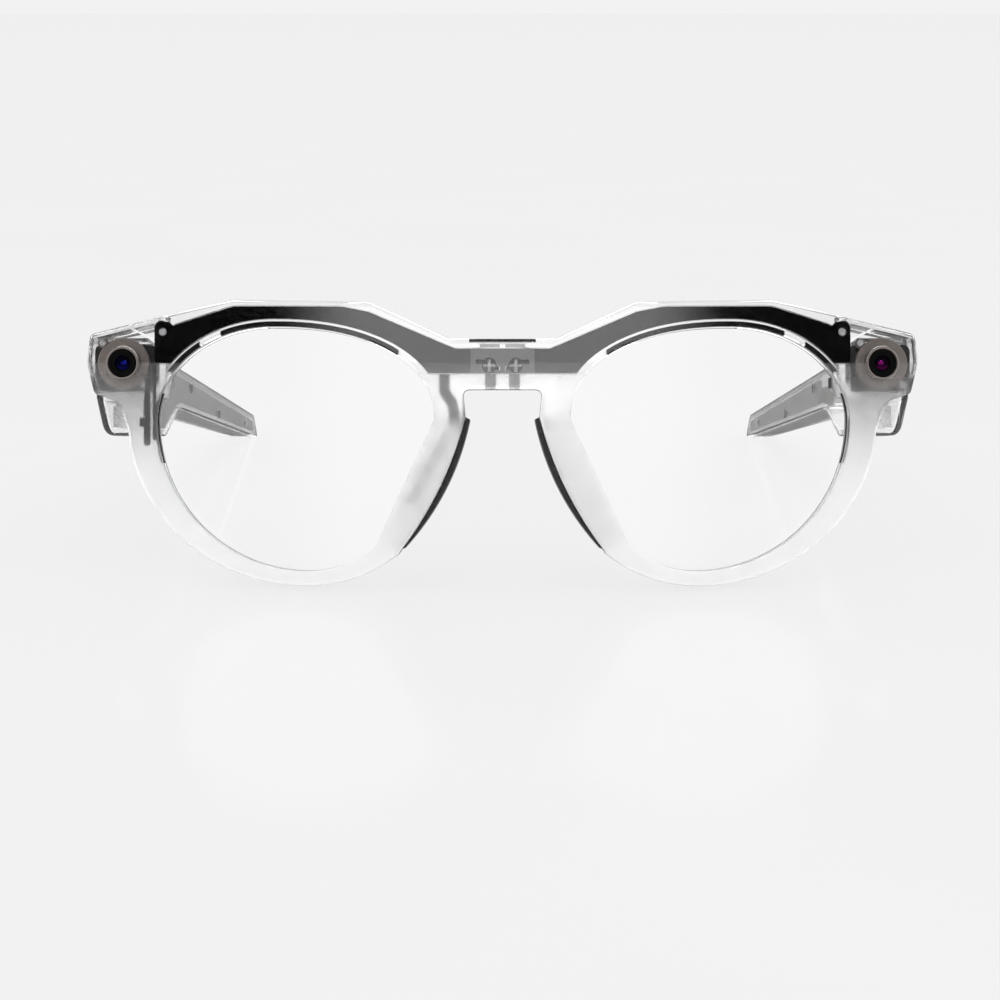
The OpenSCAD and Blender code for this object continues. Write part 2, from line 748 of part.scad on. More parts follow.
module hinge_front(s)
    color("silver") stand() side(s) difference() {
        union() {
            hinge_base(0);
            for (i = [1, 3]) {
                translate([hinge_x, hinge_y, 0]) knuckle(i, knuckle_r, slit / 2);
                z = hinge_z - hinge_h / 2 + i * knuckle_h;
                block(hinge_x - 0.6, hinge_x + 0.6, pod_back - 0.1, hinge_y,
                    z + slit / 2, z + knuckle_h - slit / 2);
            }
        }
        translate([hinge_x, hinge_y, 0]) cylinder(r = pin_r + run_fit, h = reach);
        for (z = hinge_screw_zs) rod(hinge_x - 2.6, z, 0.45, 0, 30);
    }
module hinge_front_left() hinge_front(1);
module hinge_front_right() hinge_front(-1);

module hinge_pin(s)
    color("gainsboro") stand() side(s) translate([hinge_x, hinge_y, hinge_z - hinge_h / 2]) {
        translate([0, 0, -0.1]) cylinder(r = pin_r, h = hinge_h + 0.2);
        translate([0, 0, hinge_h + 0.08]) cylinder(r = 1.2, h = 0.5);
    }
module hinge_pin_left() hinge_pin(1);
module hinge_pin_right() hinge_pin(-1);

module hinge_screws()
    color("silver") stand() both() for (z = hinge_screw_zs) {
        rod(hinge_x - 2.6, z, 0.4, pod_back - pod_wall, pod_back + 0.1);
        rod(hinge_x - 2.6, z, 0.8, pod_back + 0.03, pod_back + 0.25);
    }

// A stretch of the arm's leaf, beside the knuckle bands from i to j
module leaf_block(u, l, i, j) {
    low = hinge_z - hinge_h / 2;
    z0 = max(low + i * knuckle_h + slit / 2, low + 0.6);
    z1 = min(low + j * knuckle_h - slit / 2, low + hinge_h - 0.6);
    translate([core_t[0], u, z0]) cube([leaf_t, l, z1 - z0]);
}

module hinge_leaf(s)
    color("silver") stand() on_arm(s) difference() {
        union() {
            leaf_block(knuckle_r + 0.2, 3, 0, 5);
            leaf_block(knuckle_r + 0.2, 12, 0, 3);
            for (i = [0, 2, 4]) {
                knuckle(i, knuckle_r, slit / 2);
                leaf_block(0, knuckle_r + 0.4, i, i + 1);
            }
        }
        cylinder(r = pin_r + run_fit, h = reach);
    }
module hinge_leaf_left() hinge_leaf(1);
module hinge_leaf_right() hinge_leaf(-1);

// ---- arms -----------------------------------------------------------------

// Room around the knuckles, open to the front and the inside of the arm
module hinge_room() {
    z0 = hinge_z - hinge_h / 2 - move_gap;
    translate([0, 0, z0]) cylinder(r = knuckle_r + move_gap, h = hinge_h + 0.6 + 2 * move_gap);
    translate([arm_in_t - over, arm_front - over, z0])
        cube([1.1 - arm_in_t + over, over - arm_front, hinge_h + 0.6 + 2 * move_gap]);
}

module arm_cavity()
    intersection() {
        arm_prism(grow(arm_side(0), -wall), split_t, 20);
        arm_plan(split_t - over, wall, arm_front + wall, arm_l - wall);
    }

// The slot that the capture button moves in
module button_shape(extra, z0, z1)
    translate([button_t - button_w / 2 - extra, button_u - button_l / 2 - extra, z0])
        cube([button_w + 2 * extra, button_l + 2 * extra, z1 - z0]);
button_t = (core_t[1] + arm_out_t(button_u) - wall) / 2;

// The mesh in the casing's floor, below the speaker in the lobe
mesh_t = core_t[1] + 0.6;
mesh_w = 2.8;
module mesh_shape(extra)
    translate([mesh_t - extra, speaker_u - 3.5 - extra, lobe_z - over])
        cube([mesh_w + 2 * extra, 7 + 2 * extra, over + wall + 0.4]);

module arm_shell(s)
    color("white", 0.35) stand() on_arm(s) difference() {
        intersection() {
            arm_prism(arm_side(), split_t, 20);
            arm_plan(split_t, 0, arm_front, arm_l);
        }
        arm_cavity();
        hinge_room();
        mesh_shape(gap / 2);
        if (s < 0) button_shape(move_gap / 2, arm_top_z(button_u) - wall - 0.5, reach);
    }
module arm_shell_left() arm_shell(1);
module arm_shell_right() arm_shell(-1);

module arm_screw_holes(r) for (u = screw_us)
    translate([-over - 1, u, screw_z(u)]) rotate([0, 90, 0]) cylinder(r = r, h = 10);

// Height of the middle of the arm at a screw
function screw_z(u) = u < 50 ? hinge_z - 2 : tip_z + tip_h / 2 + 2.4 * (arm_l - u) / arm_l;

module slider_slot()
    translate([arm_in_t - over, slider_u - slider_l / 2 - gap, slider_z - slider_h / 2 - gap])
        cube([wall + 2 * over, slider_l + slider_travel + 2 * gap, slider_h + 2 * gap]);

module arm_cover(s)
    color("white", 0.35) stand() on_arm(s) difference() {
        arm_prism(arm_side(), arm_in_t, split_t);
        hinge_room();
        arm_screw_holes(0.55);
        translate([arm_in_t - over, 0, 0]) for (u = screw_us)
            translate([0, u, screw_z(u)]) rotate([0, 90, 0]) cylinder(r = 1, h = over + 0.5);
        if (s > 0) slider_slot();
    }
module arm_cover_left() arm_cover(1);
module arm_cover_right() arm_cover(-1);

// The grey chassis plate; on the left it starts behind the radio module
module arm_core(s)
    color("#888888") stand() on_arm(s) difference() {
        intersection() {
            arm_prism(grow(arm_side(0), -wall - 0.3), core_t[0], core_t[1]);
            translate([-over, s > 0 ? 36 : 4, 0]) cube([10, reach, reach]);
        }
        // room for the hinge leaf
        translate([-over, 0, hinge_z - hinge_h / 2 - 0.5]) cube([10, 15.5, reach]);
        arm_screw_holes(0.35);
    }
module arm_core_left() arm_core(1);
module arm_core_right() arm_core(-1);

module arm_screws(s)
    color("silver") stand() on_arm(s) for (u = screw_us)
        translate([0, u, screw_z(u)]) rotate([0, 90, 0]) {
            translate([0, 0, arm_in_t + 0.4]) cylinder(r = 0.32, h = core_t[1] - arm_in_t - 0.2);
            translate([0, 0, arm_in_t + 0.05]) cylinder(r = 0.9, h = 0.4);
        }
module arm_screws_left() arm_screws(1);
module arm_screws_right() arm_screws(-1);

// A cell that fills the rear of the arm behind the chassis
module battery(s)
    color("#b9b9b9") stand() on_arm(s) intersection() {
        arm_prism(grow(arm_side(0), -wall - 0.5), core_t[1] + 0.1, 20);
        arm_plan(core_t[1], wall + 0.2, 60, arm_l - 10);
        difference() {
            translate([0, 60, 0]) cube([20, arm_l - 70, reach]);
            arm_screw_holes(0.5);
        }
    }
module battery_left() battery(1);
module battery_right() battery(-1);

module main_board(s) {
    z0 = arm_low_z(board_us[0]) + wall + 0.13;
    z1 = arm_top_z(board_us[1]) - wall - 0.24;
    color("darkgreen") stand() on_arm(s) {
        translate([core_t[1] + 0.4, board_us[0], z0])
            cube([0.8, board_us[1] - board_us[0], z1 - z0]);
        for (c = [[3, 7, 1], [14, 4, 0.7], [20, 6, 0.9]])
            translate([core_t[1] + 1.2, board_us[0] + c[0], z0 + 0.3]) cube([c[2], c[1], 2.6]);
    }
}
module main_board_left() main_board(1);
module main_board_right() main_board(-1);

module speaker(s)
    color("#2b2b2b") stand() on_arm(s)
        translate([core_t[1] + 0.1, speaker_u - speaker_l / 2, lobe_z + wall + 0.6]) {
            cube([speaker_t, speaker_l, 4.2]);
            translate([0.3, 1, 4.2]) cube([speaker_t - 0.6, speaker_l - 2, 0.6]);
        }
module speaker_left() speaker(1);
module speaker_right() speaker(-1);

module speaker_mesh(s)
    color("#444444") stand() on_arm(s) difference() {
        translate([mesh_t, speaker_u - 3.5, lobe_z + 0.25]) cube([mesh_w, 7, 0.5]);
        for (i = [0 : 5]) translate([mesh_t + 0.4, speaker_u - 3 + i * 1.1, lobe_z - over])
            cube([mesh_w - 0.8, 0.5, 3]);
    }
module speaker_mesh_left() speaker_mesh(1);
module speaker_mesh_right() speaker_mesh(-1);

// A lighter block behind the left hinge
module radio_module_left()
    color("#c4c4c4") stand() on_arm(1)
        translate([core_t[1] + 1.4, 3, hinge_z - 4.4]) cube([2.2, 15, 4.8]);

// A thin film on the inside of the outer wall
module touch_pad_right()
    color("#7a7a7a") stand() on_arm(-1) intersection() {
        translate([0, 32, tip_z + 4.5]) cube([20, 24, 2.7]);
        difference() {
            arm_plan(0, wall + 0.1, 20, 70);
            translate([0, 0, -over]) arm_plan(-over, wall + 0.35, 20, 70);
        }
    }

// ---- controls -------------------------------------------------------------

module capture_button()
    color("#dddddd", 0.6) stand() on_arm(-1) {
        z = arm_top_z(button_u);
        button_shape(0, z - wall - 0.1, z + button_proud);
        button_shape(0.35, z - wall - 1.2, z - wall - 0.5);
        button_shape(0, z - wall - 0.8, z - wall);
    }

module capture_switch()
    color("#555555") stand() on_arm(-1) {
        z = arm_top_z(button_u) - wall - 1.3 - button_travel;
        translate([core_t[1], button_u - 0.8, z - 1.1])
            cube([button_t + 1.2 - core_t[1], 2.6, 0.6]);
        translate([button_t, button_u + 0.5, z - 0.6]) cylinder(r = 0.8, h = 0.5);
    }

module power_slider()
    color("#333333") stand() on_arm(1) {
        translate([arm_in_t - 0.6, slider_u - slider_l / 2, slider_z - slider_h / 2])
            cube([wall + 0.75, slider_l, slider_h]);
    }

module power_switch()
    color("#8a8a8a") stand() on_arm(1)
        translate([split_t + 0.5, slider_u - slider_l / 2 + 1.6, slider_z - 1.5])
            cube([0.7, slider_l + slider_travel, 3]);

front_shell();
front_rear_cover();
brow_insert();
brow_screws();
lens_left();
lens_right();
lens_seal_left();
lens_seal_right();
nose_pad_left();
nose_pad_right();
bridge_contact_plate();
contact_holders();
charging_contacts();
contact_tabs();
bridge_mic_strip();
bridge_microphones();
nose_flex_tail();
nose_sensor();
side_antenna();
camera_ring_left();
camera_ring_right();
camera_barrel_left();
camera_barrel_right();
camera_glass_left();
camera_glass_right();
camera_bracket_left();
camera_bracket_right();
camera_board_left();
camera_board_right();
camera_screws();
hinge_front_left();
hinge_front_right();
hinge_pin_left();
hinge_pin_right();
hinge_screws();
arm_shell_left();
arm_shell_right();
arm_cover_left();
arm_cover_right();
arm_core_left();
arm_core_right();
hinge_leaf_left();
hinge_leaf_right();
battery_left();
battery_right();
main_board_left();
main_board_right();
speaker_left();
speaker_right();
speaker_mesh_left();
speaker_mesh_right();
arm_screws_left();
arm_screws_right();
radio_module_left();
touch_pad_right();
capture_button();
capture_switch();
power_slider();
power_switch();
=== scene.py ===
# %% [markdown]
# # Clear smart glasses
# The glasses are a clear two-part front with two folding arms, and most of what the
# eye sees lies inside the plastic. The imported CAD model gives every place, so it is
# loaded first and stays as it is. Each casing, lens, pad and camera part is then
# modelled anew around it, with finer curves, soft edges and a real finish.

# %% Load the fixed frame
import math

import bmesh
import bpy
from mathutils import Matrix, Vector
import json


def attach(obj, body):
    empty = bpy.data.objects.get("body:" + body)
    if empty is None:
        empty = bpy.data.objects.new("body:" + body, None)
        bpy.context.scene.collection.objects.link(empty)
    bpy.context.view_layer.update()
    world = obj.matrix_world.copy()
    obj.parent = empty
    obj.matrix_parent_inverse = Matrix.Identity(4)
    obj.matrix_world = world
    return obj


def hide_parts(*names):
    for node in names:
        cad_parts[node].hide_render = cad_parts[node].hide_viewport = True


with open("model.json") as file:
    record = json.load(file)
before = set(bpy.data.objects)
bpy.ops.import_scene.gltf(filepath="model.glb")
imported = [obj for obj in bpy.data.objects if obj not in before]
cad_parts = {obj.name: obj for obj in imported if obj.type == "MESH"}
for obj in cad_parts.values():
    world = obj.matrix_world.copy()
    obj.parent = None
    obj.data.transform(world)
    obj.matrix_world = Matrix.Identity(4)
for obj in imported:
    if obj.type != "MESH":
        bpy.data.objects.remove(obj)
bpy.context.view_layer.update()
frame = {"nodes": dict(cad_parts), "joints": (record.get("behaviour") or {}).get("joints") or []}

# %% [markdown]
# ## The front's own frame
# The glasses lean back as they stand, so drawing them in world axes would make every
# outline slanted. It is easier to draw in the front's own axes, in millimetres: x to
# the wearer's left, y back, z up along the front. The hinge joint in the record says
# how far that frame leans and where it stands, so one matrix takes any piece home.

# %% Where the front stands
WRAP_R = 300           # radius of the wrap around the face
CAM_X, CAM_Z = 70, 40.8
hinge = next(j for j in frame["joints"] if j["name"] == "fold_left")
LEAN = math.atan2(hinge["axis"][1], hinge["axis"][2])


def face_y(x, depth=0):
    """How far back the front's curved face lies at x, and what is depth below it."""
    return WRAP_R - math.sqrt((WRAP_R - depth) ** 2 - x * x)


HINGE = Vector((1000 * hinge["pos_m"][0], face_y(CAM_X) + 11.7, CAM_Z))
TURN = Matrix.Rotation(-LEAN, 4, "X")
FOOT = Vector(hinge["pos_m"]) * 1000 - TURN @ HINGE
STAND = Matrix.Scale(0.001, 4) @ Matrix.Translation(FOOT) @ TURN
print(f"the front leans back {math.degrees(LEAN):.2f} degrees")

# %% [markdown]
# ## Outlines
# Every casing starts as a flat outline. A given list of corners, each with its
# radius, gives the straight runs and the rounded corners, and quarter ovals give the
# lens. Formulas beat traced points here: they stay smooth at any number of steps,
# and a seam that follows the lens is the same outline moved outwards.

# %% Outline helpers
ARC_STEPS = 8
OVAL_STEPS = 22


def rounded(corners):
    """A closed outline from (x, z, radius) corners."""
    points, count = [], len(corners)
    for i, (x, z, radius) in enumerate(corners):
        b = Vector((x, z))
        if not radius:
            points.append(b)
            continue
        a, c = Vector(corners[i - 1][:2]), Vector(corners[(i + 1) % count][:2])
        u, v = (a - b).normalized(), (c - b).normalized()
        cut = min(radius / math.tan(u.angle(v) / 2), 0.48 * (a - b).length, 0.48 * (c - b).length)
        for k in range(ARC_STEPS + 1):
            s = k / ARC_STEPS
            points.append(b + u * cut * (1 - s) ** 2 + v * cut * s ** 2)
    return points


def sharp(points):
    return [(p[0], p[1], 0) for p in points]


def area(points):
    return sum(a.x * b.y - a.y * b.x for a, b in zip(points, points[1:] + points[:1])) / 2


def grow(points, distance):
    """The same closed outline, moved outwards."""
    turn = math.copysign(1, area(points))
    moved = []
    for i, p in enumerate(points):
        before, after = (p - points[i - 1]).normalized(), (points[(i + 1) % len(points)] - p).normalized()
        m = Vector((before.y + after.y, -before.x - after.x))
        moved.append(p + m * (2 * distance * turn / m.length_squared))
    return moved


def oval(x, z, rx, rz, start, end, steps, square=2):
    """Points on an oval's arc in degrees, fuller when square is above 2."""
    points = []
    for k in range(steps + 1):
        t = math.radians(start + (end - start) * k / steps)
        c, s = math.cos(t), math.sin(t)
        points.append(Vector((x + rx * math.copysign(abs(c) ** (2 / square), c),
                              z + rz * math.copysign(abs(s) ** (2 / square), s))))
    return points


def bow(a, b, sag, steps=20):
    """Points from a to b on a shallow arc."""
    d = b - a
    side = Vector((-d.y, d.x)).normalized()
    return [a + d * s + side * 4 * sag * s * (1 - s) for s in (k / steps for k in range(steps + 1))]


def mirrored(points):
    return [(-p[0], *p[1:]) for p in reversed(points)]


def mirror(points):
    return [Vector((-p.x, p.y)) for p in reversed(points)]


# %% The front's outlines
LENS_IN, LENS_OUT, LENS_TOP, LENS_MID = 12.3, 63.4, 47.1, 30.2
LOW_X, TOP_X, RIM_LOW = 35.4, 42.0, 2.7
BELLY, TOE, RIM = 27.5, 23.5, 4.8
HALF_W, END_TOP, END_LOW = 76.9, 46.3, 35.3
BROW_Z, BRIDGE_Z, ARCH_Z = 52.1, 44.7, 35.6
CONTACT_X, CONTACT_Z = 2.4, 39.9             # the charging contacts, either side of the middle
PAD_FOOT = Vector((LOW_X - (TOE + RIM) * math.cos(math.radians(54)),
                   LENS_MID * (1 - math.sin(math.radians(54)))))
PAD_TOP = Vector((LENS_IN - 6.4, LENS_MID))
PAD_UP = (PAD_TOP - PAD_FOOT).normalized()
PAD_OUT = Vector((PAD_UP.y, -PAD_UP.x))


def lens_outline():
    n = OVAL_STEPS
    top_left = oval(TOP_X, LENS_MID, TOP_X - LENS_IN, LENS_TOP - LENS_MID, 90, 180, n, 2.2)
    toe = oval(LOW_X, LENS_MID, TOE, BELLY, 239, 270, n // 2)
    return (oval(TOP_X, LENS_MID, LENS_OUT - TOP_X, LENS_TOP - LENS_MID, 0, 90, n) + top_left[1:]
            + toe + oval(LOW_X, LENS_MID, LENS_OUT - LOW_X, BELLY, 270, 360, n)[1:-1])


def nose_side(foot=0, top=0, sag=2):
    """The nose side of the rim, moved outwards by so much at its foot and its top."""
    return bow(PAD_FOOT + PAD_OUT * foot, PAD_TOP + PAD_OUT * top, sag)


def front_outline():
    half = [(LENS_IN - 2.8, BRIDGE_Z, 2), (LENS_IN + 11.9, BROW_Z - 0.7, 1.2),
            (LENS_IN + 36.8, BROW_Z, 4), (HALF_W - 0.6, END_TOP, 1.5), (HALF_W, CAM_Z, 8),
            (HALF_W - 1.4, END_LOW, 1.2), (LENS_OUT + 7.1, END_LOW - 1.7, 4)]
    half += sharp(oval(LOW_X, LENS_MID, LENS_OUT + 5.5 - LOW_X, LENS_MID, -4, -90, 2 * OVAL_STEPS))
    half += sharp(oval(LOW_X, LENS_MID, TOE + RIM, LENS_MID, 270, 234, OVAL_STEPS // 2)[1:])
    half += sharp(nose_side(0.15, 0.9, 1.5)[1:]) + [(7.2, ARCH_Z, 1.2)]
    return rounded(half + mirrored(half))


def brow_outline():
    half = [(8.6, BRIDGE_Z - 1.7, 2), (LENS_IN + 11.9, BROW_Z - 2.4, 2),
            (LENS_IN + 16.9, BROW_Z - 1.4, 4), (LENS_IN + 36.8, BROW_Z - 1.1, 9),
            (LENS_OUT - 2.9, CAM_Z + 6.8, 0.8), (LENS_OUT - 2.2, CAM_Z + 7.5, 0.5),
            (LENS_OUT - 0.7, CAM_Z + 7.8, 1), (LENS_OUT + 0.5, CAM_Z + 6.8, 1),
            (LENS_OUT + 0.5, CAM_Z, 0.3), (LENS_IN, ARCH_Z + 2.9, 0.5)]
    return rounded(half + mirrored(half))


LENS = lens_outline()
print(f"lens opening {LENS_OUT - LENS_IN:.1f} by {LENS_TOP - RIM_LOW:.1f} mm, {len(LENS)} points")

# %% [markdown]
# ## Modelling helpers
# These are the moves made by hand in edit mode, kept in a few functions. A plate
# starts as a circle primitive whose points slide onto an outline, is filled and
# extruded. It stays flat until all its cuts are made, because a boolean on flat faces
# is clean, and is then sliced into narrow strips and wrapped round the face.

# %% Edit-mode helpers
POD = 50               # flat depth that stands for y = 0 in the camera pods


def only(*objects):
    bpy.ops.object.select_all(action="DESELECT")
    for o in objects:
        o.select_set(True)
    bpy.context.view_layer.objects.active = objects[0]


def edit(obj):
    only(obj)
    bpy.ops.object.mode_set(mode="EDIT")
    bpy.ops.mesh.select_all(action="SELECT")


def done():
    bpy.ops.object.mode_set(mode="OBJECT")


def pick(obj, kind, test):
    """In edit mode, selects the vertices, edges or faces that pass a test."""
    bpy.ops.mesh.select_mode(type=kind)
    bpy.ops.mesh.select_all(action="DESELECT")
    mesh = bmesh.from_edit_mesh(obj.data)
    mesh.normal_update()
    chosen = [e for e in {"VERT": mesh.verts, "EDGE": mesh.edges, "FACE": mesh.faces}[kind] if test(e)]
    for e in chosen:
        e.select_set(True)
    bmesh.update_edit_mesh(obj.data)


def ring(points, y):
    """A circle primitive whose points are slid onto an outline at depth y."""
    bpy.ops.mesh.primitive_circle_add(vertices=len(points), radius=1)
    obj = bpy.context.object
    for vertex, p in zip(obj.data.vertices, points):
        vertex.co = (p[0], y, p[1])
    return obj


def plate(outline, y0, y1, holes=()):
    """A flat plate between two depths, with holes."""
    rings = [ring(p, y0) for p in (outline, *holes)]
    only(*rings)
    if holes:
        bpy.ops.object.join()
    edit(rings[0])
    bpy.ops.mesh.fill() if holes else bpy.ops.mesh.edge_face_add()
    bpy.ops.mesh.extrude_region_move(TRANSFORM_OT_translate={"value": (0, y1 - y0, 0)})
    bpy.ops.mesh.select_all(action="SELECT")
    bpy.ops.mesh.normals_make_consistent(inside=False)
    done()
    return rings[0]


def box(x0, x1, y0, y1, z0, z1):
    bpy.ops.mesh.primitive_cube_add(size=1, location=((x0 + x1) / 2, (y0 + y1) / 2, (z0 + z1) / 2),
                                    scale=(x1 - x0, y1 - y0, z1 - z0))
    bpy.ops.object.transform_apply(location=True, rotation=True, scale=True)
    return bpy.context.object


def rod(x, z, radius, y0, y1, sides=48):
    bpy.ops.mesh.primitive_cylinder_add(vertices=sides, radius=radius, depth=y1 - y0,
                                        location=(x, (y0 + y1) / 2, z), rotation=(math.pi / 2, 0, 0))
    bpy.ops.object.transform_apply(location=True, rotation=True, scale=True)
    return bpy.context.object


def carve(obj, *tools, how="DIFFERENCE"):
    """Cuts tools out of a piece, or adds them with how="UNION"."""
    for tool in tools:
        only(obj)
        cut = obj.modifiers.new("cut", "BOOLEAN")
        cut.operation, cut.object, cut.solver = how, tool, "EXACT"
        bpy.ops.object.modifier_apply(modifier=cut.name)
        bpy.data.objects.remove(tool)
    return obj


def soften(obj, width, steps, test):
    """Rounds the edges that pass a test."""
    edit(obj)
    pick(obj, "EDGE", test)
    bpy.ops.mesh.bevel(offset=width, segments=steps, profile=0.5, clamp_overlap=False)
    done()


def rim_edge(y, outer=None):
    """A test for edges between a face at depth y and a side wall."""
    def test(e):
        if len(e.link_faces) != 2 or any(abs(v.co.y - y) > 1e-3 for v in e.verts):
            return False
        flat = [abs(f.normal.y) > 0.9 for f in e.link_faces]
        return flat[0] != flat[1] and (outer is None or outer(e))
    return test


def near_lens(e):
    """Whether an edge lies on a lens opening."""
    m = (e.verts[0].co + e.verts[1].co) / 2
    p = Vector((abs(m.x), m.z))
    return min((p - q).length for q in LENS) < 0.9


def wrap(obj, step=2.53):
    """Slices a flat piece into upright strips and wraps it round the face."""
    edge = max(abs(v.co.x) for v in obj.data.vertices)
    edit(obj)
    for k in range(-int(edge / step), int(edge / step) + 1):
        bpy.ops.mesh.select_all(action="SELECT")
        bpy.ops.mesh.bisect(plane_co=(k * step + 0.013, 0, 0), plane_no=(1, 0, 0))
    done()
    for v in obj.data.vertices:
        v.co.y = v.co.y - POD if v.co.y > POD / 2 else face_y(v.co.x, v.co.y)
    return obj


def hand_over(obj, name, nodes, body, material, place=STAND, smooth=32):
    """Puts a finished piece in its place, names it, gives it its shading and finish, hides the CAD parts it
    replaces and attaches it to its body.
    """
    obj.name = obj.data.name = name
    obj.data.transform(place)
    edit(obj)
    bpy.ops.mesh.remove_doubles(threshold=1e-7)
    if place.determinant() < 0:
        bpy.ops.mesh.flip_normals()
    done()
    bpy.ops.object.shade_smooth_by_angle(angle=math.radians(smooth))
    normals = obj.modifiers.new("even shading", "WEIGHTED_NORMAL")
    normals.keep_sharp = True
    bpy.ops.object.modifier_apply(modifier=normals.name)
    obj.data.materials.clear()
    obj.data.materials.append(material)
    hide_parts(*nodes)
    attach(obj, body)
    print(f"{name}: {len(obj.data.polygons)} faces")
    return obj


# %% [markdown]
# ## Materials
# Colours are picked as the sRGB hex values that a paint chart gives, while a shader
# works in linear light, so one function turns them. One small function adds a node
# with its settings and links, and every finish below is written with it.

# %% Material helpers
def paint(code):
    """An sRGB hex colour as linear RGBA."""
    parts = [int(code[i:i + 2], 16) / 255 for i in (0, 2, 4)]
    return (*[c / 12.92 if c <= 0.04045 else ((c + 0.055) / 1.055) ** 2.4 for c in parts], 1)


def add(tree, kind, sockets=None, **settings):
    """Adds a node, sets it, and fills or links its sockets."""
    made = tree.nodes.new("ShaderNode" + kind)
    for key, value in settings.items():
        setattr(made, key, value)
    for key, value in (sockets or {}).items():
        if isinstance(value, bpy.types.NodeSocket):
            tree.links.new(value, made.inputs[key])
        else:
            made.inputs[key].default_value = value
    return made


def material(name, **values):
    """A new material with a Principled shader, and its tree and shader."""
    made = bpy.data.materials.new(name)
    made.use_nodes = True
    made.node_tree.nodes.clear()
    shader = add(made.node_tree, "BsdfPrincipled", {k.replace("_", " "): v for k, v in values.items()})
    add(made.node_tree, "OutputMaterial", {"Surface": shader.outputs[0]})
    return made, made.node_tree, shader


def millimetres(tree, leaning=False):
    """Object coordinates in millimetres, in the front's own axes when leaning."""
    coords = add(tree, "TexCoord").outputs["Object"]
    shift = -(TURN.inverted() @ FOOT) if leaning else Vector((0, 0, 0))
    return add(tree, "Mapping", {"Vector": coords, "Location": shift, "Scale": (1000, 1000, 1000),
                                 "Rotation": (LEAN if leaning else 0, 0, 0)}).outputs[0]


def ramp(tree, value, low, high, out_low=0.0, out_high=1.0, kind="SMOOTHSTEP"):
    """value, taken from low..high to out_low..out_high."""
    return add(tree, "MapRange", {"Value": value, "From Min": low, "From Max": high, "To Min": out_low,
                                  "To Max": out_high}, interpolation_type=kind).outputs[0]


def calc(tree, a, b, how="ADD"):
    """One Math node on two values."""
    return add(tree, "Math", {0: a, 1: b}, operation=how).outputs[0]


def blend_of(tree, amount, a, b):
    """Colour a where amount is 0 and b where it is 1."""
    return add(tree, "Mix", {"Factor": amount, 6: a, 7: b}, data_type="RGBA").outputs[2]


def grain(tree, place, scale, detail=2.0):
    """Noise with about scale cells in each millimetre."""
    return add(tree, "TexNoise", {"Vector": place, "Scale": scale, "Detail": detail}).outputs[0]


def bump(tree, height, depth, strength=0.3):
    """Raises a surface by a pattern of that depth in metres."""
    return add(tree, "Bump", {"Height": height, "Distance": depth, "Strength": strength}).outputs[0]


# %% [markdown]
# ### Clear and frosted casing
# The front is moulded in clear nylon. Above a level line through the cameras it is
# polished, so that the insert shows sharply; below it, the mould was spark-eroded and
# the melt has a little white in it, so the plastic turns frosted and then milky. One
# shader does both: height above the rim drives the roughness and the clearness. The
# plastic is whitest over the nose pads and along the rim's foot. Where clear plastic
# is seen along its surface, its colour is painted grey: painted shade that stands in
# for the dark reflections there and draws the outline of a clear piece.

# %% Casing materials
FROST_TOP = 40.3       # the level line where the frosting starts
FROST_RISE = 0.063     # how much higher that line lies for each mm further back
FROST_LINE = 0.06      # half the height in which the frosting sets in at that line
FROST_FADE = 5         # how far below the line the frosting is at its coarsest
POD_SIDE = (57, 64)    # between these, going out, the rim turns into the camera pod
MILK_POD = 28          # where the milk starts below the pods; the rims have it from the line
MILK_FADE = 4          # how far below its top the milk is at its whitest
NOSE_SIDE, NOSE_TOP = (27, 20), (31, 27)    # the thick corner over each nose pad whitens in here
FOOT_RISE = (24, 6)    # between these, going down, the rim whitens towards its foot
POLISHED, FROSTED, COARSER = 0.02, 0.16, 0.24    # roughness, and what the coarsest adds
MILKY, HAZE, WHITENING = 0.93, 0.03, 0.3    # clearness in the milk, and what is taken off it


def painted_edge_shade(tree, shade):
    """White, with painted shade: grey where clear plastic is seen along its surface, for its dark edge
    reflections.
    """
    facing = add(tree, "LayerWeight", {"Blend": 0.5}).outputs[1]
    return blend_of(tree, ramp(tree, facing, 0.72, 0.97), paint("FFFFFF"), paint(shade))


def casing(name):
    """The front's plastic: polished above the level line, frosted and milky below it."""
    made, tree, shader = material(name, IOR=1.5)
    place = millimetres(tree, leaning=True)
    axes = add(tree, "SeparateXYZ", {0: place}).outputs
    level = calc(tree, axes[2], calc(tree, axes[1], FROST_RISE, "MULTIPLY"), "SUBTRACT")
    frosted = ramp(tree, level, FROST_TOP + FROST_LINE, FROST_TOP - FROST_LINE, kind="LINEAR")
    aside = add(tree, "Math", {0: axes[0]}, operation="ABSOLUTE").outputs[0]
    soft = ramp(tree, level, FROST_TOP, FROST_TOP - FROST_FADE)
    milk_top = ramp(tree, aside, *POD_SIDE, FROST_TOP, MILK_POD)
    milky = ramp(tree, calc(tree, milk_top, level, "SUBTRACT"), 0, MILK_FADE)
    by_nose = calc(tree, ramp(tree, aside, *NOSE_SIDE), ramp(tree, level, *NOSE_TOP), "MULTIPLY")
    whitest = calc(tree, by_nose, ramp(tree, level, *FOOT_RISE, 0, 0.8), "MAXIMUM")
    mottle = ramp(tree, grain(tree, place, 0.35), 0.3, 0.7, -0.03, 0.03)
    rough = calc(tree, ramp(tree, frosted, 0, 1, POLISHED, FROSTED),
                 calc(tree, soft, COARSER, "MULTIPLY"))
    clear = calc(tree, ramp(tree, milky, 0, 1, 1.0, MILKY),
                 calc(tree, frosted, HAZE, "MULTIPLY"), "SUBTRACT")
    clear = calc(tree, clear, calc(tree, whitest, WHITENING, "MULTIPLY"), "SUBTRACT")
    links = tree.links.new
    # Painted shade: the colour goes dark grey where the surface is seen edge-on, drawing dark outlines.
    links(painted_edge_shade(tree, "585858"), shader.inputs["Base Color"])
    links(calc(tree, rough, calc(tree, mottle, frosted, "MULTIPLY")), shader.inputs["Roughness"])
    links(calc(tree, clear, calc(tree, mottle, milky, "MULTIPLY")), shader.inputs["Transmission Weight"])
    return made


front_casing = casing("clear nylon, polished and frosted")

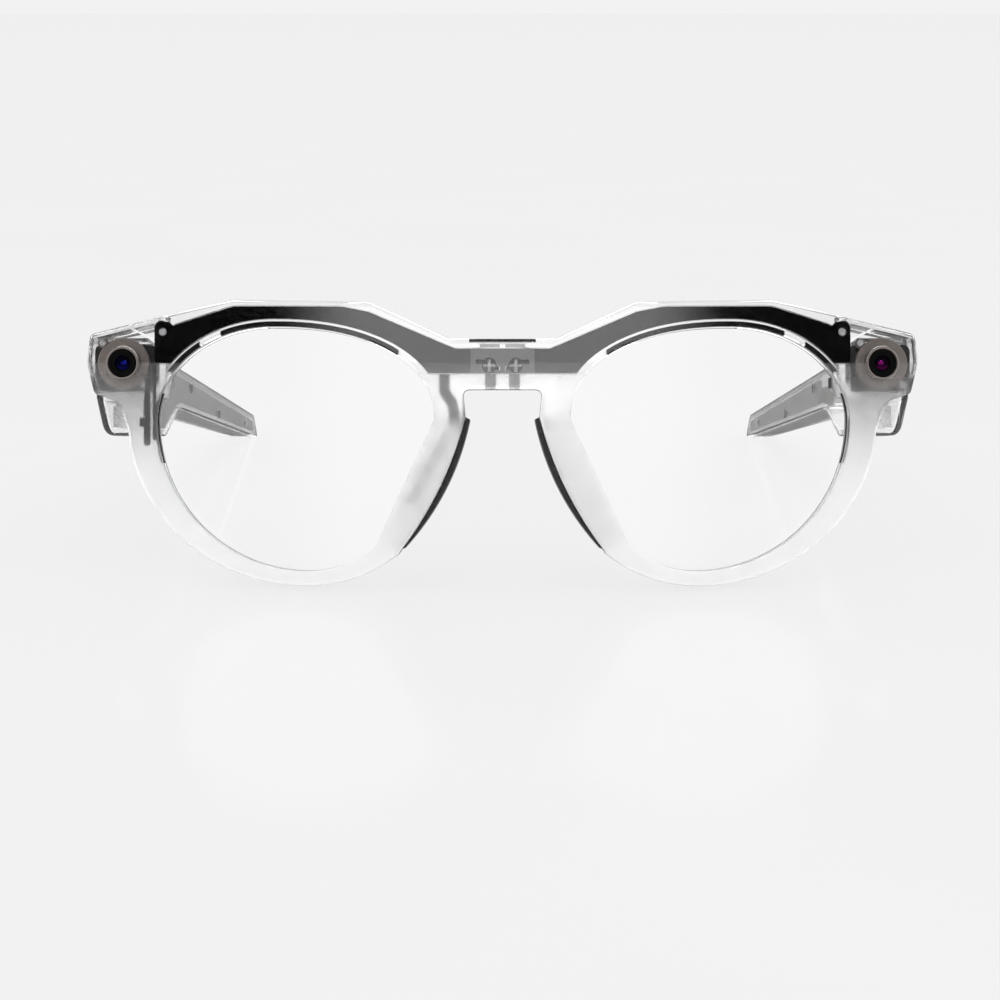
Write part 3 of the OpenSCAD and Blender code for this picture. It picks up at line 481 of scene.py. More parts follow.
clear_casing, tree, shader = material("clear nylon, polished", IOR=1.5, Transmission_Weight=0.97)
# Painted shade: the arms' plastic goes light grey where it is seen edge-on, drawing its outline.
tree.links.new(painted_edge_shade(tree, "D4D4D4"), shader.inputs["Base Color"])
flow = ramp(tree, grain(tree, millimetres(tree), 0.08), 0.3, 0.7, 0.02, 0.06)
tree.links.new(flow, shader.inputs["Roughness"])
print("casing materials made")

# %% [markdown]
# ### Lenses, rubber and the pieces inside
# The lenses carry an anti-reflection coat, so they vanish and leave only their edge:
# a low index gives the one per cent of gloss that such a coat leaves.
# Rubber is matt with a little sheen. The parts inside are ordinary electronics: a
# satin black insert, turned metal rings, grey moulded plates and dark circuit boards.
# None is one flat colour: each gets the fine mottle, grain or turning marks that
# its own making leaves on it.

# %% Lens, rubber, metal and board materials
lens_plastic, tree, shader = material("anti-reflection coated lens", IOR=1.22, Transmission_Weight=1.0,
                                      Base_Color=paint("FFFFFF"))
waves = grain(tree, millimetres(tree), 0.05)
tree.links.new(bump(tree, waves, 0.00002, 0.05), shader.inputs["Normal"])
tree.links.new(ramp(tree, waves, 0.3, 0.7, 0.0, 0.015), shader.inputs["Roughness"])


def mottled(name, dark, light, roughness, scale, depth=0.0, **values):
    """A finish that wanders between two close colours, with a fine grain."""
    made, tree, shader = material(name, **values)
    place = millimetres(tree)
    cells = grain(tree, place, scale, 4.0)
    tree.links.new(blend_of(tree, ramp(tree, cells, 0.35, 0.65), paint(dark), paint(light)),
                   shader.inputs["Base Color"])
    tree.links.new(ramp(tree, cells, 0.3, 0.7, roughness - 0.05, roughness + 0.05), shader.inputs["Roughness"])
    if depth:
        tree.links.new(bump(tree, grain(tree, place, 6 * scale), depth), shader.inputs["Normal"])
    return made


brow_black = mottled("satin black polycarbonate", "0A0A0A", "0D0C0C", 0.14, 0.8, IOR=1.58)
seal_rubber = mottled("black silicone", "0C0C0C", "121212", 0.55, 1.5, 0.00001, IOR=1.41)
pad_rubber = mottled("charcoal silicone rubber", "232323", "2E2E2E", 0.6, 1.2, 0.00002, IOR=1.41,
                     Sheen_Weight=0.15, Sheen_Roughness=0.4)
grey_plate = mottled("grey moulded nylon", "6E6E6E", "787878", 0.5, 1.5, 0.00002, IOR=1.5)
dark_plate = mottled("dark moulded nylon", "181716", "242221", 0.45, 1.5, 0.00002, IOR=1.5)
module_light = mottled("pale moulded nylon", "D2D2D2", "DEDEDE", 0.5, 1.2, 0.00001, IOR=1.5)
chassis_grey = mottled("grey magnesium chassis", "3C3C3C", "444444", 0.55, 0.5, 0.00002)
flex_film = mottled("black polyimide film", "0E0E10", "161618", 0.4, 1.0, 0.000005, IOR=1.7)
gold = mottled("gold plating", "D8A858", "E6BC72", 0.3, 3.0, 0.00001, Metallic=1.0)
steel = mottled("stainless steel", "A8A8AA", "B8B8BA", 0.3, 2.0, 0.00001, Metallic=1.0)
mesh_steel = mottled("black steel mesh", "38383A", "46464A", 0.4, 3.0, 0.00001, Metallic=1.0)
cell_foil = mottled("aluminium cell foil", "B4B4B6", "C6C6C8", 0.35, 0.3, 0.00004, Metallic=1.0)
barrel_black = mottled("black anodised barrel", "010101", "030303", 0.3, 2.0, 0.000005, IOR=1.5,
                       Specular_IOR_Level=0.08)
frosted_button = mottled("frosted clear nylon", "F4F4F4", "FFFFFF", 0.3, 1.0, 0.00001, IOR=1.5,
                         Transmission_Weight=0.6)


def turned_metal(name, x):
    """Sandblasted taupe metal with the fine rings that turning leaves."""
    made, tree, shader = material(name, Metallic=0.35)
    place = millimetres(tree, leaning=True)
    centred = add(tree, "Mapping", {"Vector": place, "Location": (-x, 0, -CAM_Z)}).outputs[0]
    rings = add(tree, "TexWave", {"Vector": centred, "Scale": 2.2, "Distortion": 0.4, "Detail": 2.0},
                wave_type="RINGS", rings_direction="Y").outputs[1]
    speck = grain(tree, place, 4.0, 4.0)
    tone = calc(tree, calc(tree, rings, 0.25, "MULTIPLY"), ramp(tree, speck, 0.3, 0.7, 0, 0.75))
    tree.links.new(blend_of(tree, tone, paint("7C736E"), paint("8B827D")), shader.inputs["Base Color"])
    tree.links.new(ramp(tree, speck, 0.3, 0.7, 0.38, 0.48), shader.inputs["Roughness"])
    tree.links.new(bump(tree, tone, 0.00001, 0.3), shader.inputs["Normal"])
    return made


def coated_glass_with_painted_sheen(name, tint, edge):
    """Dark camera glass whose coating gives back one colour, with a painted sheen: its colour turns to edge at
    grazing angles.
    """
    made, tree, shader = material(name, IOR=2.0, Roughness=0.03, Specular_Tint=paint(tint),
                                  Coat_Weight=0.05, Coat_Roughness=0.02)
    facing = add(tree, "LayerWeight", {"Blend": 0.4}).outputs[1]
    # Painted sheen: the colour turns from near-black to the edge colour where the glass is seen edge-on, for
    # the coating's coloured reflection.
    tree.links.new(blend_of(tree, facing, paint("04040A"), paint(edge)), shader.inputs["Base Color"])
    return made


board_green, tree, shader = material("circuit board", IOR=1.5)
place = millimetres(tree)
pads = add(tree, "TexBrick", {"Vector": place, "Color1": paint("10251C"), "Color2": paint("0C1D16"),
                              "Mortar": paint("8A7A4E"), "Scale": 1.0, "Mortar Size": 0.03,
                              "Brick Width": 1.3, "Row Height": 0.7}).outputs
tree.links.new(pads[0], shader.inputs["Base Color"])
tree.links.new(ramp(tree, pads[1], 0, 1, 0.35, 0.55), shader.inputs["Roughness"])

WEAR = [
    (grey_plate, ["bridge_contact_plate", "contact_tabs", "nose_sensor"]),
    (dark_plate, ["contact_holders", "bridge_mic_strip", "camera_bracket_left",
                  "camera_bracket_right", "power_slider"]),
    (gold, ["charging_contacts"]),
    (flex_film, ["nose_flex_tail", "side_antenna", "touch_pad_right"]),
    (board_green, ["camera_board_left", "camera_board_right", "main_board_left", "main_board_right"]),
    (steel, ["brow_screws", "bridge_microphones", "camera_screws", "hinge_front_left",
             "hinge_front_right", "hinge_pin_left", "hinge_pin_right", "hinge_screws",
             "hinge_leaf_left", "hinge_leaf_right", "arm_screws_left", "arm_screws_right",
             "capture_switch", "power_switch"]),
    (mesh_steel, ["speaker_mesh_left", "speaker_mesh_right"]),
    (chassis_grey, ["arm_core_left", "arm_core_right"]),
    (cell_foil, ["battery_left", "battery_right"]),
    (module_light, ["radio_module_left"]),
    (frosted_button, ["capture_button", "speaker_left", "speaker_right"]),
]
for finish, nodes in WEAR:
    for name in nodes:
        node = frame["nodes"][name]
        node.data.materials.clear()
        node.data.materials.append(finish)
print(sum(len(nodes) for _, nodes in WEAR), "inner pieces given their finish")

# %% [markdown]
# ## Front shell
# The shell is the whole face of the glasses, with two deep pods for the cameras. The
# mould makes it in one shot, so it is one plate here too: as deep as the pods, then
# cut back to the shell's depth everywhere else. The edge of the face is rounded
# before the hollows are cut, so only the edge that a hand touches is soft. Two thin
# slanting ribs in each pod break up the light there.

# %% Front shell
SKIN, SHELL_D, FRONT_D = 1.3, 3.85, 5.2     # depths of the clear skin, shell and cover
POD_IN, POD_LOW, POD_BACK = 63.0, 34.6, 16.98
AIR = 0.05                                   # the sliver of air between two mouldings
FAR, DEEP = 90, 80                           # beyond every piece, up or sideways and back
RIBS = ([(63.3, 47.35), (74, 45.1)], [(68.4, 47.2), (66, 46.1), (63.2, 44.9)])
RIB_W, RIB_BACK = 0.4, POD + 13.5


def pair(x0, x1, y0, y1, z0, z1):
    return [box(x0, x1, y0, y1, z0, z1), box(-x1, -x0, y0, y1, z0, z1)]


def lens_pair(extra, y0, y1):
    edge = grow(LENS, extra)
    return [plate(edge, y0, y1), plate(mirror(edge), y0, y1)]


def kept(pieces, *windows):
    """Cuts mirrored pieces down by boxes given as x0, x1, z0, z1 on the left side."""
    for piece, s in zip(pieces, (1, -1)):
        for x0, x1, z0, z1 in windows:
            carve(piece, box(*sorted((s * x0, s * x1)), -1, 8, z0, z1))
    return pieces


def seal_bands(extra, y0, y1, spare):
    """The seal along the top of each lens, with a notch, and the thin bead down its outer edge."""
    top = kept(lens_pair(1.0 + extra, y0, y1), (0, 18.8 - spare, 0, FAR), (0, FAR, 0, 39.2 - spare),
               (51.4 + spare, 55.4 - spare, 0, FAR))
    bead = kept(lens_pair(0.35 + extra, y0, y1), (0, 56, 0, FAR), (0, FAR, 0, 22.4 - spare),
                (0, FAR, 35.2 + spare, FAR))
    return top + bead


def near_camera(e):
    m = (e.verts[0].co + e.verts[1].co) / 2
    return math.hypot(abs(m.x) - CAM_X, m.z - CAM_Z) < 3.4


def flex_path(spread):
    path = [Vector(p) for p in ((10.5, 39.1), (10.5, 35.3), (9.1, 33.2), (8.7, 31.2), (8.9, 27))]
    return band(path, 1.9 + 2 * spread)


def band(path, width):
    """A flat band along a path."""
    sides = []
    for i, p in enumerate(path):
        d = (path[min(i + 1, len(path) - 1)] - path[max(i - 1, 0)]).normalized()
        sides.append(Vector((-d.y, d.x)) * width / 2)
    return [p + s for p, s in zip(path, sides)] + [p - s for p, s in zip(path, sides)][::-1]


shell = plate(front_outline(), 0, POD + POD_BACK - 1.2)
soften(shell, 0.7, 4, rim_edge(0))
carve(shell, box(-POD_IN, POD_IN, SHELL_D, DEEP, -5, FAR), *pair(POD_IN - 1, FAR, SHELL_D, DEEP, -5, POD_LOW))
carve(shell, *lens_pair(0, -1, DEEP))
soften(shell, 0.35, 3, lambda e: rim_edge(0)(e) and near_lens(e))
carve(shell, rod(CAM_X, CAM_Z, 3.1, -1, 5), rod(-CAM_X, CAM_Z, 3.1, -1, 5))
soften(shell, 0.2, 2, lambda e: rim_edge(0)(e) and near_camera(e))

pod_room = plate(grow(front_outline(), -0.9), SKIN, DEEP)
carve(pod_room, box(-POD_IN - 0.9, POD_IN + 0.9, 0, DEEP + 1, -5, FAR),
      *pair(POD_IN, FAR, 0, DEEP + 1, -5, POD_LOW + 0.9))
brow_room = carve(plate(grow(brow_outline(), 0.15), SKIN, 6), *lens_pair(1.35, 0, 7))
carve(shell, pod_room, brow_room, *lens_pair(0.75, 2.3, 6), *seal_bands(0.05, SKIN, 2.35, 0.1))
carve(shell, box(1.1, 3.2, SKIN, 6, 36.2, 39.7), box(-3.2, -1.1, SKIN, 6, 36.2, 39.7),
      box(-4.4, 4.4, SKIN, 6, 41.7, 43.9), box(-6.05, 6.05, 1.5, 3.4, 44.05, 46))
carve(shell, plate(mirror(flex_path(0.15)), 2.9, 6))
for rib in RIBS:
    edge = band([Vector(p) for p in rib], RIB_W)
    carve(shell, plate(edge, 1, RIB_BACK), plate(mirror(edge), 1, RIB_BACK), how="UNION")
wrap(shell)
hand_over(shell, "clear_front_shell", ["front_shell"], "front", front_casing)

# %% [markdown]
# ## Rear cover
# The second moulding closes the shell from behind and carries the inner side and the
# back of each pod, with a seat for the hinge. A sliver of air is left between the two,
# because the light turns at each face of clear plastic, and a real joint shows there.

# %% Rear cover
cover = plate(front_outline(), SHELL_D + AIR, POD + POD_BACK)
carve(cover, box(-POD_IN + 1.2, POD_IN - 1.2, FRONT_D, DEEP, -5, FAR),
      *pair(POD_IN - 3, FAR, FRONT_D, DEEP, -5, POD_LOW),
      *pair(POD_IN - AIR, FAR, 0, POD + POD_BACK - 1.2, POD_LOW, FAR))
soften(cover, 0.6, 3, rim_edge(FRONT_D))
carve(cover, *lens_pair(0, -1, DEEP))
soften(cover, 0.3, 2, lambda e: rim_edge(FRONT_D)(e) and near_lens(e))
carve(cover, rod(CONTACT_X, CONTACT_Z, 0.8, 0, 10), rod(-CONTACT_X, CONTACT_Z, 0.8, 0, 10),
      *pair(62.95, 67.85, POD + POD_BACK - 0.85, DEEP, 37.25, 44.35))
for z in (CAM_Z - 2.6, CAM_Z + 2.6):
    carve(cover, rod(64.6, z, 0.5, 5, DEEP, 24), rod(-64.6, z, 0.5, 5, DEEP, 24))
wrap(cover)
hand_over(cover, "clear_rear_cover", ["front_rear_cover"], "front", front_casing)

# %% [markdown]
# ## Lenses and their seals
# Each lens sits in a step behind the rim and bites 0.7 mm into it, with a black seal
# in front of its edge. The seal shows through the clear rim as a thin dark crescent,
# and its bead at the lens's outer side stands a hair into the opening.

# %% Lenses and seals
for lens, s in zip(lens_pair(0.7, 2.35, 3.8), ("left", "right")):
    hand_over(wrap(lens), f"clear_lens_{s}", [f"lens_{s}"], "front", lens_plastic)
left_top, right_top, left_bead, right_bead = seal_bands(0, 1.35, 2.25, 0)
for seal, bead, s in ((left_top, left_bead, "left"), (right_top, right_bead, "right")):
    carve(seal, *lens_pair(0.1, 0, 5))
    carve(bead, *lens_pair(-0.22, 0, 5))
    only(seal, bead)
    bpy.ops.object.join()
    hand_over(wrap(seal), f"rubber_seal_{s}", [f"lens_seal_{s}"], "front", seal_rubber)

# %% [markdown]
# ## Brow insert
# One satin black moulding runs from hinge to hinge above the lenses and hides the
# wiring. Its lower edge follows the lens at a constant distance, so the same lens
# outline, grown by that distance, cuts it.

# %% Brow insert
brow = carve(plate(brow_outline(), 1.4, 3.2), *lens_pair(1.5, 0, 7))
carve(brow, box(-5.9, 5.9, 0, 2.4, 0, FAR), rod(62.4, 46.5, 0.8, 0, 20), rod(-62.4, 46.5, 0.8, 0, 20))
for s in (1, -1):
    x = s * CONTACT_X
    carve(brow, rod(x, CONTACT_Z, 1.45, 0, 5), box(*sorted((x, s * 4.9)), 0, 5, 40.1, 41.1),
          box(*sorted((s * 0.4, x)), 0, 5, 39.0, 39.8))
soften(brow, 0.12, 2, rim_edge(1.4))
wrap(brow)
hand_over(brow, "brow_insert_piece", ["brow_insert"], "front", brow_black)

# %% [markdown]
# ## Nose pads
# The pads are soft rubber wings that start as a thin lip beside the clear rim and
# flare back along the nose. The lip is a crescent between two bows that meet at its
# foot, or nearly so. Behind it, sections are bridged from front to back.

# %% Nose pads
def pad_section(shift, cut, width=3.4):
    """The pad's outline, moved outwards by shift and shortened by cut at both ends."""
    a, b = PAD_FOOT + PAD_UP * cut + PAD_OUT * shift, PAD_TOP - PAD_UP * cut + PAD_OUT * shift
    inner = bow(a, b, 2, 16)
    return inner + bow(b + PAD_OUT * (width - 2), a + PAD_OUT * (width - 2), 0.3, 16)


PAD_BACK = face_y(PAD_FOOT.x + 3.4, FRONT_D)
# depth behind the front's back, shift outwards, and cut at both ends
SECTIONS = ((0, 0, 1.2), (0.35, 0.05, 0.55), (1.2, 0.1, 0.4), (3.5, 1.2, 1.3), (6.0, 2.5, 2.6), (7.1, 2.9, 3.2),
            (7.6, 3.2, 4.2))
for s, side in ((1, "left"), (-1, "right")):
    rings = [ring(pad_section(shift, cut), PAD_BACK + y) for y, shift, cut in SECTIONS]
    only(*rings)
    bpy.ops.object.join()
    pad = rings[0]
    edit(pad)
    bpy.ops.mesh.bridge_edge_loops()
    bpy.ops.mesh.select_all(action="SELECT")
    bpy.ops.mesh.fill_holes(sides=0)
    bpy.ops.mesh.select_all(action="SELECT")
    bpy.ops.mesh.normals_make_consistent(inside=False)
    done()
    lip = plate(nose_side()[1:] + nose_side(0.1, 0.8, 1.6)[:0:-1], 1.0, 9)
    soften(lip, 0.25, 2, rim_edge(1.0))
    wrap(lip)
    carve(pad, lip, how="UNION")
    flip = Matrix.Scale(s, 4, (1, 0, 0))
    hand_over(pad, f"rubber_nose_pad_{side}", [f"nose_pad_{side}"], "front", pad_rubber,
              place=STAND @ flip, smooth=50)

# %% [markdown]
# ## Cameras
# Each camera is a turned metal ring whose collar stands in the opening of the front,
# a black barrel inside it and a domed glass. Turned parts are made by turning: a
# circle is drawn out along its axis and widened or narrowed step by step.

# %% Camera rings, barrels and glasses
def turned(profile, x, z, sides=72):
    """A piece turned about an axis along y, from (radius, y) steps."""
    radius, y = profile[0]
    piece = ring([Vector((radius * math.cos(a), radius * math.sin(a)))
                  for a in (2 * math.pi * k / sides for k in range(sides))], y)
    edit(piece)
    for wide, deep in profile[1:]:
        bpy.ops.mesh.extrude_edges_move(TRANSFORM_OT_translate={"value": (0, deep - y, 0)})
        bpy.ops.transform.resize(value=(wide / radius, 1, wide / radius), center_override=(0, deep, 0))
        radius, y = wide, deep
    bpy.ops.mesh.select_all(action="SELECT")
    bpy.ops.mesh.remove_doubles(threshold=1e-4)
    bpy.ops.mesh.select_all(action="SELECT")
    bpy.ops.mesh.fill_holes(sides=0)
    bpy.ops.mesh.select_all(action="SELECT")
    bpy.ops.mesh.normals_make_consistent(inside=False)
    done()
    piece.data.transform(Matrix.Translation((x, 0, z)))
    return piece


COLLAR_Y = face_y(CAM_X) - 0.3
RING_Y = face_y(CAM_X + 4.8, SKIN + 0.1)
BRACKET_Y = RING_Y + 1.4
RING = [(2.65, COLLAR_Y + 0.12), (2.77, COLLAR_Y), (2.92, COLLAR_Y), (3.0, COLLAR_Y + 0.1),
        (3.0, RING_Y + 0.12), (3.15, RING_Y + 0.12), (3.25, RING_Y), (4.66, RING_Y),
        (4.8, RING_Y + 0.14), (4.8, BRACKET_Y - 0.05), (2.65, BRACKET_Y - 0.05), (2.65, COLLAR_Y + 0.12)]
BARREL = [(2.5, BRACKET_Y + 1.7), (2.5, COLLAR_Y + 0.6), (2.4, COLLAR_Y + 0.5), (2.1, COLLAR_Y + 0.5),
          (2.02, COLLAR_Y + 0.62), (1.8, COLLAR_Y + 0.62), (1.72, COLLAR_Y + 0.54), (1.5, COLLAR_Y + 0.54),
          (1.4, COLLAR_Y + 0.66), (1.4, COLLAR_Y + 1.8), (0.7, COLLAR_Y + 1.8), (0.7, BRACKET_Y + 0.8)]
DOME = [(r, COLLAR_Y + 3.8 - math.sqrt(3.2 ** 2 - r * r))
        for r in (0.002, 0.2, 0.4, 0.6, 0.8, 1.0, 1.15, 1.25, 1.3)]
DOME += [(1.3, COLLAR_Y + 1.75), (0.002, COLLAR_Y + 1.75)]
LUGS = {1: ((-1, 1), (1, -1)), -1: ((1, 1), (-1, -1))}
# For each side: the coating's specular tint, and the colour of the painted sheen at grazing angles.
COAT_TINTS_AND_PAINTED_SHEEN = {1: ("F018D0", "280018"), -1: ("2424FF", "000030")}
for s, side in ((1, "left"), (-1, "right")):
    x = s * CAM_X
    made = turned(RING, x, CAM_Z)
    for dx, dz in LUGS[s]:
        lx, lz = x + s * dx * 3.87, CAM_Z + dz * 3.87
        lug = carve(rod(lx, lz, 0.95, BRACKET_Y - 1, BRACKET_Y - 0.05), rod(x, CAM_Z, 4.4, 0, 30, 72))
        soften(lug, 0.12, 2, rim_edge(BRACKET_Y - 1))
        carve(made, lug, how="UNION")
        carve(made, rod(lx, lz, 0.5, 0, 30, 24))
    hand_over(made, f"turned_ring_{side}", [f"camera_ring_{side}"], "front",
              turned_metal(f"taupe turned aluminium, {side}", x))
    hand_over(turned(BARREL, x, CAM_Z), f"camera_barrel_piece_{side}", [f"camera_barrel_{side}"], "front",
              barrel_black)
    hand_over(turned(DOME, x, CAM_Z), f"camera_dome_{side}", [f"camera_glass_{side}"], "front",
              coated_glass_with_painted_sheen(f"coated camera glass with painted sheen, {side}", *COAT_TINTS_AND_PAINTED_SHEEN[s]), smooth=60)

# %% [markdown]
# ## Brackets and contact springs
# Behind each ring a dark moulded bracket fills the lower part of the pod, so the top
# of the pod stays clear. On the bridge, each charging contact is held by a sprung
# cross that shows bright against its dark holder.

# %% Camera brackets and contact springs
for s, side in ((1, "left"), (-1, "right")):
    x = s * CAM_X
    bracket = box(*sorted((s * 64.1, s * 75.5)), BRACKET_Y, BRACKET_Y + 1, 35.7, 44.4)
    soften(bracket, 1.2, 4, lambda e: abs((e.verts[0].co - e.verts[1].co).normalized().y) > 0.9)
    carve(bracket, rod(x, CAM_Z, 2.65, 0, 30))
    hand_over(bracket, f"dark_bracket_{side}", [f"camera_bracket_{side}"], "front", dark_plate)

CROSS_Y, CROSS_BACK = 1.42, 1.72    # how deep below the face the spring crosses lie
springs = []
for s in (1, -1):
    x = s * CONTACT_X
    cross = box(x - 1.15, x + 1.15, CROSS_Y, CROSS_BACK, 39.65, 40.15)
    carve(cross, box(x - 0.3, x + 0.3, CROSS_Y, CROSS_BACK, 38.7, 41.1), how="UNION")
    soften(cross, 0.1, 2, rim_edge(CROSS_Y))
    springs.append(cross)
only(*springs)
bpy.ops.object.join()
holders = []
for s in (1, -1):
    x = s * CONTACT_X
    holder = rod(x, CONTACT_Z, 1.4, 1.75, 3.75)
    carve(holder, box(*sorted((x, x + s * 2.3)), 1.75, 3.2, 40.2, 41.0),
          box(*sorted((x - s * 1.8, x)), 1.75, 3.2, 39.1, 39.7), rod(x + s * 2.0, 40.6, 0.55, 1.75, 2.4, 24),
          rod(x - s * 0.2, 41.3, 0.6, 1.75, 2.4, 24), how="UNION")
    holders.append(holder)
only(*holders)
bpy.ops.object.join()
hand_over(wrap(springs[0]), "contact_spring_crosses", [], "front", steel)
hand_over(wrap(holders[0]), "dark_contact_holders", ["contact_holders"], "front", dark_plate)

# %% [markdown]
# ## Arms
# An arm is two mouldings: an outer shell with the batteries and boards in its hollow,
# and a thin cover on the inside. Seen from the side they share one outline, so both
# are drawn from it, as u along the arm, t across it and z up. The shell thins towards
# the tip, which one formula does to every point once the cuts are made.

# %% Arm casings
ARM_IN, ARM_SPLIT, ARM_OUT, ARM_END, ARM_ANGLE = -0.8, 0.4, 9.5, 126.5, math.radians(2.8)
ARM_TOP, ARM_LOW, TIP_Z, LOBE_Z, LOBE_U, WALL = 46.2, 34.5, 31.0, 27.9, 8.5, 1.2
ARM_FRONT, NECK_U, HEEL_U = -2.6, 20, 30
SCREW_US, BUTTON_U, SLIDER_Z = (40, 72, ARM_END - 18), 26, 38.8


def top_z(u):
    return ARM_TOP - 3.5 - 6.3 * (u - NECK_U) / (ARM_END - 6.5 - NECK_U)


def low_z(u):
    return TIP_Z + 3.1 * (ARM_END - 0.5 - u) / (ARM_END - 0.5 - HEEL_U)


def arm_side(soft=1):
    return rounded([(ARM_FRONT, ARM_TOP, 1.2 * soft), (6, ARM_TOP - 0.8, 12), (NECK_U, top_z(NECK_U), 12),
                    (ARM_END - 6.5, TIP_Z + 5.4, 1.5 * soft), (ARM_END - 0.5, TIP_Z, soft),
                    (HEEL_U, low_z(HEEL_U), 8),
                    (HEEL_U - 4, low_z(HEEL_U) - 0.6, 5), (LOBE_U + 6, LOBE_Z + 0.2, 6),
                    (LOBE_U - 5.5, LOBE_Z, 5), (ARM_FRONT, ARM_LOW, soft)])


def arm_out(u):
    return ARM_OUT - 4.3 * (u - ARM_FRONT) / (ARM_END - ARM_FRONT)


def taper(obj):
    """Thins the arm towards its tip."""
    for v in obj.data.vertices:
        if v.co.y > ARM_SPLIT:
            v.co.y = ARM_SPLIT + (v.co.y - ARM_SPLIT) * (arm_out(v.co.x) - ARM_SPLIT) / (ARM_OUT - ARM_SPLIT)
    return obj


def arm_place(s):
    swap = Matrix(((0, 1, 0, 0), (1, 0, 0, 0), (0, 0, 1, 0), (0, 0, 0, 1)))
    return (STAND @ Matrix.Scale(s, 4, (1, 0, 0)) @ Matrix.Translation((HINGE.x, HINGE.y, 0))
            @ Matrix.Rotation(ARM_ANGLE, 4, "Z") @ swap)


def hinge_room():
    bpy.ops.mesh.primitive_cylinder_add(vertices=48, radius=2.05, depth=8.3, location=(0, 0, CAM_Z + 0.3))
    bpy.ops.object.transform_apply(location=True)
    return [bpy.context.object, box(-3.6, 0, -1.8, 1.1, CAM_Z - 3.85, CAM_Z + 4.45)]


def screw_z(u):
    return CAM_Z - 2 if u < 50 else TIP_Z + 2.7 + 2.4 * (ARM_END - u) / ARM_END


for s, side in ((1, "left"), (-1, "right")):
    body = f"temple_{side}"
    outer = plate(arm_side(), ARM_SPLIT, ARM_OUT)
    soften(outer, 1.6, 6, rim_edge(ARM_OUT))
    hollow = plate(grow(arm_side(0), -WALL), ARM_SPLIT - 1, ARM_OUT - WALL)
    soften(hollow, 0.8, 3, rim_edge(ARM_OUT - WALL))
    carve(outer, hollow, *hinge_room(), box(4.95, 12.05, 1.85, 4.75, LOBE_Z - 2, LOBE_Z + 1.6))
    if s < 0:
        button_t = (1.3 + arm_out(BUTTON_U) - WALL) / 2 * ARM_OUT / arm_out(BUTTON_U)
        carve(outer, box(BUTTON_U - 4.7, BUTTON_U + 4.7, button_t - 1.6, button_t + 1.6,
                         top_z(BUTTON_U) - WALL - 0.5, 60))
    taper(outer)
    hand_over(outer, f"clear_arm_shell_{side}", [f"arm_shell_{side}"], body, clear_casing,
              place=arm_place(s))
    inner = plate(arm_side(), ARM_IN, ARM_SPLIT - 0.03)
    soften(inner, 0.35, 3, rim_edge(ARM_IN))
    carve(inner, *hinge_room())
    for u in SCREW_US:
        carve(inner, rod(u, screw_z(u), 0.55, -3, 3, 24), rod(u, screw_z(u), 1.0, -3, -0.3, 32))
    if s > 0:
        carve(inner, box(16.9, 23.1, -3, 3, SLIDER_Z - 1.1, SLIDER_Z + 1.1))
    hand_over(inner, f"clear_arm_cover_{side}", [f"arm_cover_{side}"], body, clear_casing,
              place=arm_place(s))

# %% [markdown]
# ## Scene
# The glasses stand on a plain pale floor under a soft sky. Diffuse light comes from
# the whole sky, while mirror-like reflections see a darker room with one white card
# in front: that card puts the grey sheen on the bridge and leaves the brow's outer
# ends black, as a product studio does with flags beside its soft box. The floor
# glows: a little brighter when seen through clear plastic, and much dimmer in
# reflections, so that the arms keep their grey instead of mirroring it.

# %% Floor, light and camera
GLOW, GLOW_THROUGH, GLOW_LOST = 0.775, 0.045, 0.6    # the floor's light: seen, more through, less mirrored
BEHIND_MIRRORED, BEHIND_THROUGH = 0.3, 3.2   # the room's back wall, in reflections and through plastic
CARD_LIGHT = 1.3

scene = bpy.context.scene
scene.view_settings.view_transform = "Standard"
bpy.ops.mesh.primitive_plane_add(size=60)
floor = bpy.context.object
floor.name = "floor"
floor_finish, tree, shader = material("lit acrylic floor", Roughness=0.5, Specular_IOR_Level=0.0,
                                      Coat_Weight=0.06, Coat_Roughness=0.12, Emission_Color=paint("FFFFFF"))
rays = add(tree, "LightPath").outputs
through = rays["Is Transmission Ray"]
mirrored_only = calc(tree, rays["Is Glossy Ray"], through, "GREATER_THAN")
glow = calc(tree, calc(tree, GLOW, calc(tree, through, GLOW_THROUGH, "MULTIPLY")),
            calc(tree, mirrored_only, GLOW_LOST, "MULTIPLY"), "SUBTRACT")
tree.links.new(glow, shader.inputs["Emission Strength"])
shade = ramp(tree, grain(tree, millimetres(tree), 0.01), 0.3, 0.7)
tree.links.new(blend_of(tree, shade, paint("4A4A4A"), paint("4C4C4C")), shader.inputs["Base Color"])
floor.data.materials.append(floor_finish)

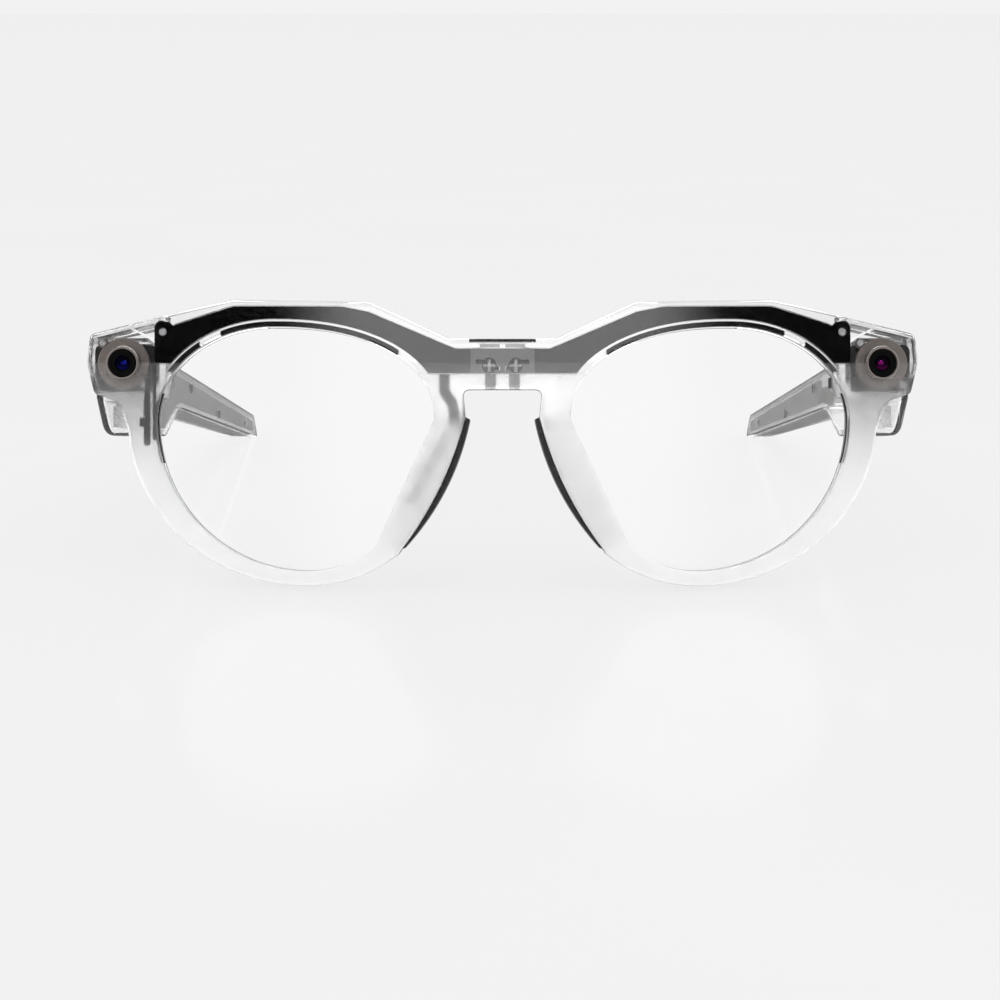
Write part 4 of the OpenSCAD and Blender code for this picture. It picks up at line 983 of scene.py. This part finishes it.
PALE = 0.887           # the floor and the horizon, so that they meet without a line
world = bpy.data.worlds.new("studio sky")
scene.world = world
world.use_nodes = True
tree = world.node_tree
tree.nodes.clear()
way = add(tree, "TexCoord").outputs["Generated"]
axes = add(tree, "SeparateXYZ", {0: way}).outputs
azimuth = calc(tree, axes[0], calc(tree, axes[1], -1.0, "MULTIPLY"), "ARCTAN2")
azimuth = add(tree, "Math", {0: azimuth}, operation="ABSOLUTE").outputs[0]
height = add(tree, "Math", {0: axes[2]}, operation="ARCSINE").outputs[0]
deg = math.radians
rays = add(tree, "LightPath").outputs
card_rise = calc(tree, ramp(tree, height, deg(5), deg(10)), ramp(tree, height, deg(32), deg(26)), "MULTIPLY")
card = calc(tree, ramp(tree, azimuth, deg(23), deg(14)), card_rise, "MULTIPLY")
behind = ramp(tree, rays["Is Transmission Ray"], 0, 1, BEHIND_MIRRORED, BEHIND_THROUGH, "LINEAR")
room = add(tree, "Mix", {"Factor": ramp(tree, axes[1], 0.1, 0.5), 2: 0.01, 3: behind}).outputs[0]
room = calc(tree, room, calc(tree, card, CARD_LIGHT, "MULTIPLY"))
sky = ramp(tree, axes[2], 0.0, 1.0, 1.3, 1.9, "LINEAR")
mirror_ray = calc(tree, calc(tree, rays["Is Glossy Ray"], rays["Is Transmission Ray"], "MAXIMUM"),
                  calc(tree, rays["Diffuse Depth"], 0.5, "LESS_THAN"), "MULTIPLY")
seen = add(tree, "Mix", {"Factor": mirror_ray, 2: sky, 3: room}).outputs[0]
seen = add(tree, "Mix", {"Factor": rays["Is Camera Ray"], 2: seen, 3: PALE}).outputs[0]
light = add(tree, "Background", {"Color": seen})
add(tree, "OutputWorld", {"Surface": light.outputs[0]})

spot = Vector((0, -math.cos(deg(32)), math.sin(deg(32))))
bpy.ops.object.light_add(type="AREA", location=STAND @ HINGE + spot,
                         rotation=spot.to_track_quat("Z", "Y").to_euler())
glint = bpy.context.object
glint.name = "small studio lamp"
glint.data.size = 0.06
glint.data.energy = 0.25

bpy.ops.object.camera_add(location=STAND @ Vector((-0.45, -392, 15.6)), rotation=(math.pi / 2 - LEAN, 0, 0))
camera = bpy.context.object
camera.data.lens = 78.3
camera.data.clip_start = 0.01
camera.data.clip_end = 200
scene.camera = camera
print(f"camera {(camera.location - STAND @ Vector((0, 0, 25))).length * 1000:.0f} mm from the front")

# %% [markdown]
# The finished glasses have to fill the same box as the CAD model.

# %% Finish
import json
